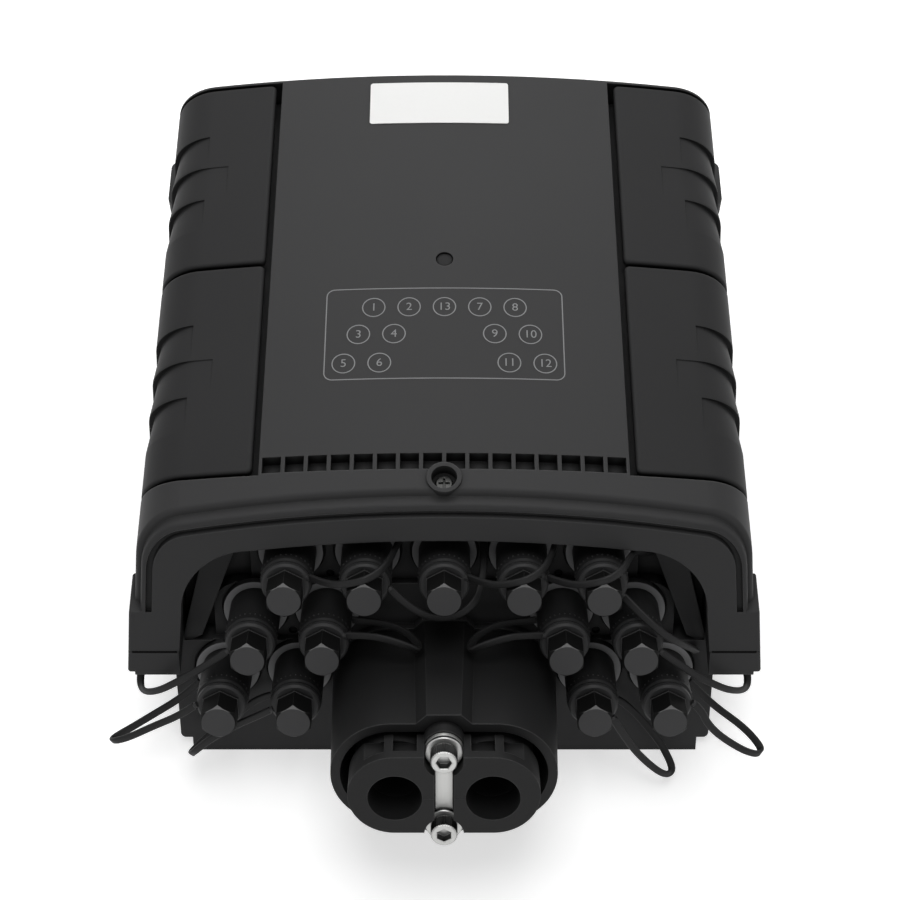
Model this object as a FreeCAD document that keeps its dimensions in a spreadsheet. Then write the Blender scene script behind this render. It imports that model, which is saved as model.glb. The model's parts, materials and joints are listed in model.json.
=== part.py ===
import FreeCAD, Part
import math
import os
import re
import Sketcher
from FreeCAD import Vector

# Fibre distribution hub box lying on its back: millimetres, +Z up, ports towards -Y.
# The origin is the centre of the four bracket inserts in the back face.

doc = FreeCAD.newDocument("distribution_hub_box")
sheet = doc.addObject("Spreadsheet::Sheet", "sizes")

sizes = {
    # outer form of the case
    "case_half_width": 120.8,
    "case_top": 118.0,
    "side_draft": 6.0,
    "shoulder_radius": 21.0,
    "shoulder_drop": 28.1,
    "shoulder_rise": "=case_top - shoulder_drop - parting_height",
    "shoulder_x": "=case_half_width - shoulder_radius / cos(side_draft) - shoulder_rise * tan(side_draft)",
    "crown_span": "=shoulder_x^2 + shoulder_drop^2 - shoulder_radius^2",
    "crown_radius": "=crown_span / (2 * (shoulder_drop - shoulder_radius))",
    "front_edge": 100.0,
    "rear_end": 115.0,
    "front_tilt": 30.0,
    "front_edge_drop": 4.0,
    "parting_height": 58.8,
    "seam": 0.4,
    "wall": 3.0,
    # base
    "flange_height": 9.0,
    "tub_inset": 13.2,
    "tub_half_width": "=case_half_width - tub_inset",
    "tub_setback": 6.5,
    "tub_corner": 6.0,
    "tub_round": 2.0,
    "foot_inset": 17.9,
    "foot_half_width": "=case_half_width - foot_inset",
    "foot_height": 5.5,
    "floor_thickness": 4.0,
    "bracket_spacing_x": 120.0,
    "bracket_spacing_y": 140.0,
    "insert_radius": 3.0,
    "insert_depth": 12.0,
    "post_radius": 7.0,
    "post_height": 24.0,
    "lug_reach": 2.0,
    "lug_depth": 17.0,
    "lug_height": 16.0,
    "lug_round": 1.2,
    "rear_lug_reach": 4.4,
    "rear_lug_length": 25.5,
    "rear_lug_overhang": 2.0,
    "rear_lug_corner": 4.0,
    # hood
    "fascia": 5.6,
    "leg_width": 19.8,
    "arch_half": "=case_half_width - leg_width",
    "mouth_flare": 2.2,
    "mouth_half": "=arch_half + mouth_flare",
    "arch_top": 13.4,
    "arch_drop": 4.4,
    "arch_corner": 28.0,
    "rim_depth": 3.6,
    "rim_step": 2.4,
    "rim_lip": 2.0,
    "rim_round": 1.8,
    "ridge_round": 2.2,
    "face_groove": 2.4,
    "face_groove_depth": 1.8,
    # port panel
    "panel_plate": 3.0,
    "panel_recess": 28.0,
    "panel_inset": 25.3,
    "panel_half": "=case_half_width - panel_inset",
    "cheek_inset": 12.8,
    "cheek_half": "=case_half_width - cheek_inset",
    "cheek_height": 72.0,
    "panel_step": 4.0,
    "panel_fit": 1.5,
    "panel_gap": 0.4,
    "band_corner": 10.0,
    "row_one_half": 76.0,
    "row_two_inset": 29.8,
    "row_two_half": "=case_half_width - row_two_inset",
    "row_three_inset": 15.3,
    "row_three_half": "=case_half_width - row_three_inset",
    "wing_out": 17.0,
    "wing_top": 23.7,
    "wing_top_inner": 40.9,
    "wing_top_outer": 28.4,
    "wing_drop": 1.0,
    "wing_low": 66.8,
    "wing_low_inner": 24.7,
    "wing_low_drop": 3.9,
    "wing_low_outer": 16.3,
    "row_one_drop": 31.4,
    "row_two_drop": 55.5,
    "row_three_drop": 81.1,
    "row_one_pitch": 30.0,
    "row_two_inner": 46.2,
    "row_two_pitch": 28.2,
    "row_three_inner": 57.7,
    "row_three_pitch": 28.7,
    # ports and caps
    "rim_radius": 12.7,
    "rim_height": 2.0,
    "rim_groove": 0.8,
    "rim_groove_depth": 1.2,
    "dimple_radius": 1.7,
    "dimple_depth": 2.0,
    "dimple_rise": 2.1,
    "barrel_radius": 10.0,
    "barrel_length": 24.0,
    "barrel_chamfer": 0.8,
    "port_bore": 5.4,
    "shank_radius": 6.6,
    "shank_length": 12.0,
    "nut_flats": 17.0,
    "nut_height": 5.0,
    "thread_clearance": 0.1,
    "ring_radius": 9.5,
    "ring_height": 3.2,
    "cap_neck_radius": 6.2,
    "cap_flats": 13.0,
    "cap_reach": 38.0,
    "cap_spigot": 14.0,
    "cap_chamfer": 0.8,
    "cap_lip": 0.7,
    "cap_lip_height": 0.6,
    "cap_bevel": 0.15,
    "cap_clearance": 0.3,
    "tether_diameter": 2.4,
    "tether_root": 1.3,
    # cable gland
    "gland_drop": 87.0,
    "gland_half_width": 42.4,
    "gland_root_half_width": 44.7,
    "gland_half_height": 23.0,
    "gland_length": 62.0,
    "gland_wall": 3.6,
    "gland_boss_half": 6.0,
    "ridge_rise": 4.0,
    "ridge_top_half": 6.3,
    "ridge_base_half": 10.4,
    "ridge_flare": 1.6,
    "seat_rim": 0.8,
    "plate_half_width": 35.4,
    "plate_half_height": 17.2,
    "plate_lift": 1.2,
    "plate_thickness": 14.0,
    "plate_front": 4.0,
    "pocket_first": 9.9,
    "pocket_width": 8.8,
    "pocket_rib": 3.2,
    "pocket_depth": 4.0,
    "plate_ear": 7.6,
    "ear_thickness": 5.8,
    "plate_gap": 0.2,
    "cable_radius": 10.0,
    "cable_spacing": 36.0,
    "grommet_radius": 15.6,
    "grommet_length": 24.0,
    "screw_offset": 16.6,
    "screw_radius": 3.0,
    "screw_length": 34.0,
    "screw_head_radius": 5.0,
    "screw_head_height": 6.0,
    "socket_flats": 5.0,
    "washer_radius": 7.0,
    "washer_height": 1.6,
    "strap_half_width": 3.2,
    "strap_thickness": 1.6,
    # side latches
    "panel_edge": 70.0,
    "latch_gap": 2.6,
    "latch_wall": 3.0,
    "latch_recess": 13.2,
    "latch_clearance": 0.7,
    "latch_corner": 2.5,
    "latch_round": 1.6,
    "hood_gap": 1.5,
    "rear_rim": 1.8,
    "rear_round": 1.2,
    "latch_front": 16.3,
    "latch_split": 115.4,
    "latch_split_gap": 1.2,
    "latch_pin_radius": 1.5,
    "latch_pin_inset": 6.0,
    "latch_pin_depth": 6.0,
    "latch_bead": 4.4,
    "latch_lug_radius": 2.7,
    "latch_lug_width": 4.0,
    "grip_depth": 2.1,
    "grip_pitch": 17.2,
    "grip_run": 16.0,
    "grip_offset": 4.2,
    "grip_reach": 91.0,
    "grip_side_reach": 100.0,
    "grip_low": 68.0,
    "cover_flange": 3.5,
    "pin_clearance": 0.05,
    # cover details
    "slot_front": 15.6,
    "slot_length": 7.0,
    "slot_pitch": 8.7,
    "slot_rib": 1.5,
    "slot_depth": 6.0,
    "slot_bar_depth": 10.0,
    "boss_setback": 11.5,
    "boss_radius": 6.6,
    "boss_rise": 0.9,
    "boss_depth": 13.0,
    "block_drop": 5.0,
    "block_front": 12.0,
    "boss_counterbore": 4.9,
    "boss_counterbore_depth": 4.6,
    "captive_screw_radius": 2.4,
    "captive_head_radius": 4.2,
    "captive_head_height": 2.6,
    "captive_grip": 2.0,
    "captive_clearance": 0.7,
    "cross_depth": 1.4,
    "cross_half": 0.45,
    "valve_setback": 114.6,
    "valve_radius": 3.5,
    "valve_recess": 1.6,
    "valve_head": 0.9,
    "valve_play": 0.4,
    "valve_stem_play": 0.1,
    "valve_lip": 1.0,
    # cover hinge
    "hinge_setback": 5.5,
    "hinge_radius": 4.5,
    "hinge_pin_radius": 2.0,
    "hinge_spread": 70.0,
    "hinge_knuckle": 16.0,
    "hinge_leaf": 9.0,
    "hinge_gap": 0.4,
    # inside
    "gasket_width": 4.0,
    "gasket_depth": 2.5,
    "gasket_proud": 0.1,
    "gasket_inset": 2.4,
    "gasket_play": 0.1,
    "tray_half_width": 78.0,
    "tray_half_length": 84.0,
    "tray_height": 9.0,
    "tray_wall": 2.0,
    "tray_gap": 0.2,
    "splitter_half_width": 50.0,
    "splitter_length": 30.0,
    "splitter_height": 12.0,
}
for row, alias in enumerate(sizes, start=1):
    sheet.setAlias(f"A{row}", alias)
for row, value in enumerate(sizes.values(), start=1):
    sheet.set(f"A{row}", str(value))
doc.recompute()


def size(alias):
    return float(sheet.get(alias))


def formula(text):
    # every size named in the text becomes a reference to its cell
    return re.sub(r"[a-z_]+", lambda word: "sizes." * (word[0] in sizes) + word[0], str(text))


def number(text):
    return float(sheet.evalExpression(formula(text)))


def bind(item, **formulas):
    for prop, text in formulas.items():
        item.setExpression(prop, formula(text))


def place(item, x, y, z, turn="0", axis="1; 0; 0", prop="Placement"):
    text = f"placement(vector({x}; {y}; {z}); rotation(vector({axis}); {turn}))"
    item.setExpression(prop, formula(text))


def front_place(item, x, up, out, prop="Placement"):
    # x across, up along the slanted front, out along the port axis, from the hood's top front edge
    y = f"-front_edge + sin(front_tilt) * ({up}) - cos(front_tilt) * ({out})"
    z = f"case_top - front_edge_drop + cos(front_tilt) * ({up}) + sin(front_tilt) * ({out})"
    place(item, x, y, z, "90 - front_tilt", prop=prop)


def front_point(x, up, out):
    lean = math.radians(size("front_tilt"))
    y = -size("front_edge") + math.sin(lean) * up - math.cos(lean) * out
    z = size("case_top") - size("front_edge_drop") + math.cos(lean) * up + math.sin(lean) * out
    return Vector(x, y, z)


def box(name, low, high, slanted=False):
    block = doc.addObject("Part::Box", name)
    spans = [f"({b}) - ({a})" for a, b in zip(low, high)]
    bind(block, Length=spans[0], Width=spans[1], Height=spans[2])
    if slanted:
        front_place(block, *low)
    else:
        place(block, *low)
    return block


def cylinder(name, radius, length, base, turn="0", axis="1; 0; 0"):
    rod = doc.addObject("Part::Cylinder", name)
    bind(rod, Radius=radius, Height=length)
    place(rod, *base, turn, axis)
    return rod


def fuse(name, pieces):
    joined = doc.addObject("Part::MultiFuse", name)
    joined.Shapes = pieces
    joined.Refine = True
    return joined


def cut(name, base, tools):
    if len(tools) > 1:
        tool = doc.addObject("Part::MultiFuse", name + "_tools")
        tool.Shapes = tools
    else:
        tool = tools[0]
    result = doc.addObject("Part::Cut", name)
    result.Base = base
    result.Tool = tool
    return result


def common(name, first, second):
    shared = doc.addObject("Part::Common", name)
    shared.Base = first
    shared.Tool = second
    return shared


def group(name, pieces):
    bundle = doc.addObject("Part::Compound", name)
    bundle.Links = pieces
    return bundle


def sketch_on(body, role, name):
    drawing = body.newObject("Sketcher::SketchObject", name)
    plane = [item for item in body.Origin.OriginFeatures if item.Role == role][0]
    drawing.AttachmentSupport = [(plane, "")]
    drawing.MapMode = "FlatFace"
    return drawing


def draw(drawing, corners):
    # closed outline: each corner is (x, y) or (x, y, radius of a left-hand arc to the next corner)
    points = [Vector(number(corner[0]), number(corner[1]), 0) for corner in corners]
    first = drawing.GeometryCount
    starts = []
    for index, corner in enumerate(corners):
        here = points[index]
        there = points[(index + 1) % len(points)]
        if len(corner) == 2:
            drawing.addGeometry(Part.LineSegment(here, there), False)
        else:
            radius = number(corner[2])
            chord = there - here
            across = Vector(-chord.y, chord.x, 0).normalize()
            centre = (here + there) * 0.5 + across * math.sqrt(max(radius**2 - chord.Length**2 / 4, 0))
            circle = Part.Circle(centre, Vector(0, 0, 1), radius)
            begin = math.atan2(here.y - centre.y, here.x - centre.x)
            end = math.atan2(there.y - centre.y, there.x - centre.x)
            if end < begin:
                end += 2 * math.pi
            drawing.addGeometry(Part.ArcOfCircle(circle, begin, end), False)
        starts.append(first + index)
    for index, edge in enumerate(starts):
        following = starts[(index + 1) % len(starts)]
        drawing.addConstraint(Sketcher.Constraint("Coincident", edge, 2, following, 1))
    for edge, corner, point in zip(starts, corners, points):
        for kind, text, value in (("DistanceX", corner[0], point.x), ("DistanceY", corner[1], point.y)):
            rule = drawing.addConstraint(Sketcher.Constraint(kind, -1, 1, edge, 1, value))
            drawing.setExpression(f"Constraints[{rule}]", formula(text))
        if len(corner) == 3:
            rule = drawing.addConstraint(Sketcher.Constraint("Radius", edge, number(corner[2])))
            drawing.setExpression(f"Constraints[{rule}]", formula(corner[2]))


def new_body(name):
    return doc.addObject("PartDesign::Body", name)


def pad(body, drawing, length, name, symmetric=False, kind="PartDesign::Pad"):
    feature = body.newObject(kind, name)
    feature.Profile = drawing
    feature.SideType = "Symmetric" if symmetric else "One side"
    bind(feature, Length=length)
    return feature


def prism(name, corners, start, length, role="XY_Plane", symmetric=False):
    # one closed outline padded from a plane
    body = new_body(name)
    drawing = sketch_on(body, role, name + "_outline")
    place(drawing, "0", "0", start, prop="AttachmentOffset")
    draw(drawing, corners)
    pad(body, drawing, length, name + "_pad", symmetric)
    return body


def turned(name, corners):
    # half section (radius, height) turned about the local Z axis
    body = new_body(name)
    drawing = sketch_on(body, "XZ_Plane", name + "_section")
    draw(drawing, corners)
    feature = body.newObject("PartDesign::Revolution", name + "_turn")
    feature.Profile = drawing
    feature.ReferenceAxis = (drawing, ["V_Axis"])
    return body


def rounded(half, low, high, corner):
    return [
        (half, f"({low}) + ({corner})"),
        (half, f"({high}) - ({corner})", corner),
        (f"({half}) - ({corner})", high),
        (f"({corner}) - ({half})", high, corner),
        (f"-({half})", f"({high}) - ({corner})"),
        (f"-({half})", f"({low}) + ({corner})", corner),
        (f"({corner}) - ({half})", low),
        (f"({half}) - ({corner})", low, corner),
    ]


def stadium(half_width, half_height):
    straight = f"({half_width}) - ({half_height})"
    return [
        (straight, f"-({half_height})", half_height),
        (half_width, "0", half_height),
        (straight, half_height),
        (f"-({straight})", half_height, half_height),
        (f"-({half_width})", "0", half_height),
        (f"-({straight})", f"-({half_height})"),
    ]


def hexagon(flats):
    corner = f"({flats}) / sqrt(3)"
    return [(f"{corner} * cos({angle})", f"{corner} * sin({angle})") for angle in range(30, 390, 60)]


# Case hull: flat crown, round shoulders, sides that lean outwards, set in evenly from the outside

shoulder_z = "(case_top - shoulder_drop)"


def hull_outline(inset, bottom):
    bend = f"(shoulder_radius - ({inset}))"
    share = f"(crown_radius - ({inset})) / (crown_radius - shoulder_radius)"
    meet_x = f"(shoulder_x * {share})"
    meet_z = f"(case_top - crown_radius + (crown_radius - shoulder_drop) * {share})"
    side = f"(shoulder_x + {bend} * cos(side_draft))"
    side_z = f"({shoulder_z} + {bend} * sin(side_draft))"
    low_side = f"(shoulder_x + {bend} / cos(side_draft) + ({shoulder_z} - ({bottom})) * tan(side_draft))"
    return [
        (low_side, bottom),
        (side, side_z, bend),
        (meet_x, meet_z, f"crown_radius - ({inset})"),
        (f"-{meet_x}", meet_z, bend),
        (f"-{side}", side_z),
        (f"-{low_side}", bottom),
    ]


def hull(name, inset, bottom, rear, front):
    return prism(name, hull_outline(inset, bottom), f"-({rear})", f"({rear}) + ({front})", "XZ_Plane")


def skin_depth(point):
    # how far a point lies inside the outer skin
    turn = size("shoulder_radius")
    draft = math.radians(size("side_draft"))
    across = abs(point.x) - size("shoulder_x")
    above = point.z - number(shoulder_z)
    rise = size("crown_radius") - size("shoulder_drop")
    height = point.z - size("case_top") + size("crown_radius")
    if abs(point.x) * rise <= size("shoulder_x") * height:
        return size("crown_radius") - math.hypot(point.x, height)
    if math.atan2(above, across) > draft:
        return turn - math.hypot(across, above)
    return turn - across * math.cos(draft) - above * math.sin(draft)


def round_edges(name, piece, choose):
    # fillet of every edge for which choose gives a radius
    doc.recompute()
    rounding = doc.addObject("Part::Fillet", name)
    rounding.Base = piece
    chosen = []
    for index, edge in enumerate(piece.Shape.Edges, start=1):
        radius = choose(edge)
        if radius:
            chosen.append((index, radius, radius))
    rounding.Edges = chosen
    return rounding


def middle_of(edge):
    return edge.valueAt((edge.FirstParameter + edge.LastParameter) / 2)


def flat_along(edge, measure):
    # the value of a measure that is the same at both ends and the middle of an edge, or None
    values = [measure(vertex.Point) for vertex in edge.Vertexes] + [measure(middle_of(edge))]
    return values[0] if max(values) - min(values) < 0.001 else None


def front_out(point):
    return (point - front_point(0, 0, 0)).dot(front_point(0, 0, 1) - front_point(0, 0, 0))


cover_bottom = "parting_height + seam"
front_reach = "front_edge + case_top"
far = "2 * case_half_width"


def ahead_of(name, out):
    # everything in front of a plane parallel to the slanted front
    return box(name, (f"-{far}", f"-{far}", out), (far, far, "case_half_width"), slanted=True)


front_foot = "(case_top - front_edge_drop)"
arch_depth = "(arch_top + arch_drop + arch_corner)"


def arch_side(height):
    # half width of the flared arch at a height of the front
    return f"arch_half + tan(side_draft) * (({front_foot} - ({height})) / cos(front_tilt) - {arch_depth})"


def lug_side(height):
    return f"case_half_width + lug_reach + tan(side_draft) * (parting_height - ({height}))"


def lug(name, side, bottom, top, outer_end):
    # corner lug with leaning sides, its front face in the plane of the hood's front, soft at its outer end
    corners = [
        (arch_side(bottom), bottom),
        (lug_side(bottom), bottom),
        (lug_side(top), top),
        (arch_side(top), top),
    ]
    if side < 0:
        corners = [(f"-({x})", z) for x, z in reversed(corners)]
    bar = prism(name + "_bar", corners, "0", front_reach, "XZ_Plane")
    slab = box(name + "_slab", (f"-{far}", f"-{far}", "-lug_depth * cos(front_tilt)"),
               (far, far, "0"), slanted=True)
    free_end = number(outer_end)

    def rounding(edge):
        spot = middle_of(edge)
        height = flat_along(edge, lambda point: point.z)
        out = flat_along(edge, front_out)
        in_front = out is not None and abs(out) < 0.01
        at_end = height is not None and abs(height - free_end) < 0.01
        at_side = abs(abs(spot.x) - number(lug_side(f"({spot.z})"))) < 0.01
        return size("lug_round") if in_front + at_end + at_side == 2 else 0

    return round_edges(name, common(name + "_blank", bar, slab), rounding)


# Base

panel_out = "-panel_recess"
row_outs = ["panel_step - panel_recess", "2 * panel_step - panel_recess", "3 * panel_step - panel_recess"]
row_halves = ["row_one_half", "row_two_half", "row_three_half"]
band_tops = [
    "-row_one_drop + rim_radius + panel_fit",
    "(-row_one_drop - rim_radius - panel_gap)",
    "(-row_two_drop - rim_radius - panel_gap)",
]
gland_out = row_outs[2]


def front_run(out, height):
    # y of a plane parallel to the slanted front, at a height
    return f"(-front_edge + tan(front_tilt) * (({height}) - {front_foot}) - ({out}) / cos(front_tilt))"


def front_climb(out, height):
    # distance up a plane parallel to the slanted front, at a height
    return f"((({height}) - {front_foot} - sin(front_tilt) * ({out})) / cos(front_tilt))"


def base_block(name, half, bottom, top, out, rear):
    corners = [
        (front_run(out, bottom), bottom),
        (rear, bottom),
        (rear, top),
        (front_run(out, top), top),
    ]
    return prism(name, corners, "0", f"2 * ({half})", "YZ_Plane", symmetric=True)


def panel_outline():
    # bulkhead under the cover: full width to the latch shelf, narrower under the raised centre
    turn = "(shoulder_radius - latch_recess - wall)"
    shelf_z = "case_top - shoulder_x^2 / (2 * crown_radius) - latch_recess - wall - panel_fit"
    top_z = "case_top - panel_edge^2 / (2 * crown_radius) - wall - panel_fit"
    shelf = front_climb(panel_out, shelf_z)
    top = front_climb(panel_out, top_z)
    low = front_climb(panel_out, "parting_height - flange_height")
    neck = "(panel_edge - wall - panel_fit)"
    right = [
        ("panel_half", low),
        ("panel_half", f"{shelf} - {turn}"),
        (f"panel_half - {turn}", shelf),
        (neck, shelf),
        (neck, top),
    ]
    return right + [(f"-({x})", up) for x, up in reversed(right)]


def slanted_prism(name, corners, out, length):
    body = prism(name, corners, "0", length)
    front_place(body, "0", "0", out)
    return body


def ports():
    # number, x, row index
    rows = {
        0: ("row_one_drop", {1: "-2 * row_one_pitch", 2: "-row_one_pitch", 13: "0",
                             7: "row_one_pitch", 8: "2 * row_one_pitch"}),
        1: ("row_two_drop", {3: "-row_two_inner - row_two_pitch", 4: "-row_two_inner",
                             9: "row_two_inner", 10: "row_two_inner + row_two_pitch"}),
        2: ("row_three_drop", {5: "-row_three_inner - row_three_pitch", 6: "-row_three_inner",
                               11: "row_three_inner", 12: "row_three_inner + row_three_pitch"}),
    }
    for row_index, (drop, places) in rows.items():
        for port, x in places.items():
            yield port, x, "-" + drop, row_outs[row_index]


def soft_block(name, half, bottom, top, out, rear, low_round):
    # block of the base with round rear corners and soft lower sides
    block = base_block(name + "_blank", half, bottom, top, out, rear)

    def rounding(edge):
        across = flat_along(edge, lambda point: abs(point.x))
        along = flat_along(edge, lambda point: point.y)
        height = flat_along(edge, lambda point: point.z)
        at_side = across is not None and abs(across - number(half)) < 0.01
        at_rear = along is not None and abs(along - number(rear)) < 0.01
        at_bottom = height is not None and abs(height - number(bottom)) < 0.01
        if at_side and at_rear:
            return size("tub_corner")
        if low_round and at_bottom and (at_side or at_rear):
            return number(low_round)
        return 0

    return round_edges(name, block, rounding)


foot = soft_block("foot", "foot_half_width", "0", "foot_height + 1", gland_out, "rear_end - foot_height", "")
tub = soft_block("tub", "tub_half_width", "foot_height", "parting_height - flange_height", gland_out,
                 "rear_end - tub_setback", "tub_round")
flange_slab = base_block("flange_slab", "case_half_width", "parting_height - flange_height",
                         "parting_height", "0", "rear_end")
flange = cut("flange", flange_slab, [
    box("flange_mouth", ("-mouth_half", f"-{far}", panel_out), ("mouth_half", far, far), slanted=True)])
front_lugs = [
    lug(f"base_lug_{side}", side, "parting_height - flange_height", "parting_height",
        "parting_height - flange_height")
    for side in (-1, 1)
]


def rear_lug(side):
    # round-cornered ear on the flange
    inner = "case_half_width - 1"
    outer = "case_half_width + rear_lug_reach"
    near = "(rear_end + rear_lug_overhang - rear_lug_length)"
    away = "(rear_end + rear_lug_overhang)"
    if side > 0:
        corners = [
            (inner, near),
            (f"{outer} - rear_lug_corner", near, "rear_lug_corner"),
            (outer, f"{near} + rear_lug_corner"),
            (outer, f"{away} - rear_lug_corner", "rear_lug_corner"),
            (f"{outer} - rear_lug_corner", away),
            (inner, away),
        ]
    else:
        corners = [
            (f"-({inner})", away),
            (f"rear_lug_corner - ({outer})", away, "rear_lug_corner"),
            (f"-({outer})", f"{away} - rear_lug_corner"),
            (f"-({outer})", f"{near} + rear_lug_corner", "rear_lug_corner"),
            (f"rear_lug_corner - ({outer})", near),
            (f"-({inner})", near),
        ]
    return prism(f"rear_lug_{side}", corners, "parting_height - flange_height", "flange_height - seam")


rear_lugs = [rear_lug(side) for side in (-1, 1)]
hollow_foot = base_block("hollow_foot", "foot_half_width - wall", "floor_thickness", "parting_height + 1",
                         "-panel_recess - panel_plate", "rear_end - foot_height - wall")
hollow_tub = base_block("hollow_tub", "tub_half_width - wall", "foot_height + wall", "parting_height + 1",
                        "-panel_recess - panel_plate", "rear_end - tub_setback - wall")
panel_space = box("panel_space", ("-mouth_half", band_tops[2], panel_out),
                  ("mouth_half", far, far), slanted=True)
tray = cut("base_tub", fuse("base_solid", [foot, tub, flange] + front_lugs + rear_lugs),
           [hollow_foot, hollow_tub, panel_space])

bulkhead = slanted_prism("bulkhead", panel_outline(), "-panel_recess - panel_plate", "panel_plate")
cheek_low = front_climb(panel_out, "parting_height - flange_height + wall")
cheek_top = front_climb(panel_out, "cheek_height")
cheeks = box("cheeks", ("-cheek_half", cheek_low, "-panel_recess - panel_plate"),
             ("cheek_half", cheek_top, panel_out), slanted=True)
panel_low = front_climb(gland_out, "foot_height + 1")
bands = []
band_hollows = []
for level in range(3):
    bottom = panel_low if level == 2 else f"{band_tops[level + 1]} - band_corner"
    bands.append(slanted_prism(
        f"band_{level + 1}", rounded(row_halves[level], bottom, band_tops[level], "band_corner"),
        panel_out, f"{level + 1} * panel_step"))
    shrunk = rounded(f"{row_halves[level]} - wall", f"{bottom} + wall", f"{band_tops[level]} - wall",
                     "band_corner - wall")
    band_hollows.append(slanted_prism(
        f"band_hollow_{level + 1}", shrunk, "-panel_recess - panel_plate - 1",
        f"{level + 1} * panel_step + 1"))
wing = [
    ("case_half_width - wing_top_inner", "-wing_top"),
    ("case_half_width - wing_top_outer", "-wing_top - wing_drop"),
    ("case_half_width - wing_low_outer", "-wing_low - wing_low_drop"),
    ("case_half_width - wing_low_inner", "-wing_low"),
]
wings = [
    slanted_prism("wing_right", list(reversed(wing)), panel_out, "panel_recess - wing_out"),
    slanted_prism("wing_left", [(f"-({x})", up) for x, up in wing], panel_out, "panel_recess - wing_out"),
]
port_rims = []
for port, x, up, out in ports():
    rim = doc.addObject("Part::Cylinder", f"port_rim_{port}")
    bind(rim, Radius="rim_radius", Height="rim_height + 1")
    front_place(rim, x, up, f"{out} - 1")
    port_rims.append(rim)
gland_seat = prism("gland_seat", stadium("gland_root_half_width + seat_rim", "gland_half_height + seat_rim"),
                   "0", "3 * panel_step")
front_place(gland_seat, "0", "-gland_drop", panel_out)
ridge_seat = [
    ("ridge_base_half + ridge_flare + seat_rim", "gland_half_height"),
    ("ridge_top_half + ridge_flare + seat_rim", "gland_half_height + ridge_rise + seat_rim"),
]
ridge_seat += [(f"-({x})", up) for x, up in reversed(ridge_seat)]
seat_tab = prism("seat_tab", ridge_seat, "0", "3 * panel_step")
front_place(seat_tab, "0", "-gland_drop", panel_out)
screw_block = box("screw_block", ("-boss_radius", "-arch_top - 2", "-panel_recess - 1"),
                  ("boss_radius", "-block_drop", "-block_front"), slanted=True)
posts = [
    cylinder(f"post_{x}_{y}", "post_radius", "post_height",
             (f"{x} * bracket_spacing_x / 2", f"{y} * bracket_spacing_y / 2", "0"))
    for x in (-1, 1) for y in (-1, 1)
]
hinge_y = "(rear_end + hinge_setback)"
base_leaves = []
for side in (-1, 1):
    for edge in (-1, 1):
        inner = f"{side} * hinge_spread + {edge} * (hinge_knuckle / 2 + hinge_gap)"
        start = inner if edge > 0 else f"{inner} - hinge_leaf"
        barrel = cylinder(f"base_knuckle_{side}_{edge}", "hinge_radius", "hinge_leaf",
                          (start, hinge_y, "parting_height"), "90", "0; 1; 0")
        web = box(f"base_leaf_{side}_{edge}", (start, "rear_end - 1", "parting_height - flange_height"),
                  (f"{start} + hinge_leaf", hinge_y, "parting_height"))
        base_leaves += [barrel, web]
base_solid = fuse("base_body", [tray, bulkhead, cheeks, gland_seat, seat_tab, screw_block] + bands + wings
                  + port_rims + posts + base_leaves)

base_lightened = cut("base_lightened", base_solid, band_hollows)
base_cuts = []
for port, x, up, out in ports():
    hole = doc.addObject("Part::Cylinder", f"port_hole_{port}")
    bind(hole, Radius="shank_radius + thread_clearance", Height="panel_recess + rim_height")
    front_place(hole, x, up, f"{out} - panel_recess + 1")
    seat = doc.addObject("Part::Cylinder", f"nut_seat_{port}")
    bind(seat, Radius="nut_flats / sqrt(3) + panel_gap", Height="shank_length")
    front_place(seat, x, up, f"{out} - panel_plate - shank_length")
    moat = turned(f"rim_moat_{port}", [
        ("rim_radius", "-rim_groove_depth"),
        ("rim_radius + rim_groove", "-rim_groove_depth"),
        ("rim_radius + rim_groove", "panel_gap"),
        ("rim_radius", "panel_gap"),
    ])
    front_place(moat, x, up, out)
    base_cuts += [hole, seat, moat]
for level, x in ((0, "1.5 * row_one_pitch"), (1, "row_two_inner + row_two_pitch / 2")):
    for side in (-1, 1):
        dimple = doc.addObject("Part::Cylinder", f"dimple_{level}_{side}")
        bind(dimple, Radius="dimple_radius", Height="dimple_depth + 1")
        front_place(dimple, f"{side} * ({x})", f"{band_tops[level + 1]} + dimple_rise",
                    f"{row_outs[level]} - dimple_depth")
        base_cuts.append(dimple)
gland_hole = prism("gland_hole", stadium("gland_half_width - gland_wall", "gland_half_height - gland_wall"),
                   "0", "panel_recess")
front_place(gland_hole, "0", "-gland_drop", "-panel_recess - panel_plate - 1")
base_cuts.append(gland_hole)
for x in (-1, 1):
    for y in (-1, 1):
        base_cuts.append(cylinder(f"insert_{x}_{y}", "insert_radius", "insert_depth + 1",
                                  (f"{x} * bracket_spacing_x / 2", f"{y} * bracket_spacing_y / 2", "-1")))
screw_y = "boss_setback - front_edge"
block_top = f"({front_foot} - block_drop / cos(front_tilt) - tan(front_tilt) * boss_setback)"
base_cuts.append(cylinder("screw_thread_hole", "captive_screw_radius + captive_clearance", "2 * boss_depth",
                          ("0", screw_y, f"{block_top} - boss_depth")))
for side in (-1, 1):
    base_cuts.append(cylinder(f"base_hinge_bore_{side}", "hinge_pin_radius + pin_clearance",
                              "hinge_knuckle + 2 * hinge_leaf + 4 * hinge_gap",
                              (f"{side} * hinge_spread - hinge_knuckle / 2 - hinge_leaf - 2 * hinge_gap",
                               hinge_y, "parting_height"), "90", "0; 1; 0"))


def gasket_path(width_in, width_out):
    # three-sided strip on the flange: both sides and the rear
    outer = f"(case_half_width - ({width_out}))"
    inner = f"(case_half_width - ({width_in}))"
    front = front_run("-panel_recess - panel_plate - 2", "parting_height")
    return [
        (f"-{outer}", front),
        (f"-{inner}", front),
        (f"-{inner}", f"rear_end - ({width_in})"),
        (inner, f"rear_end - ({width_in})"),
        (inner, front),
        (outer, front),
        (outer, f"rear_end - ({width_out})"),
        (f"-{outer}", f"rear_end - ({width_out})"),
    ]


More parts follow.
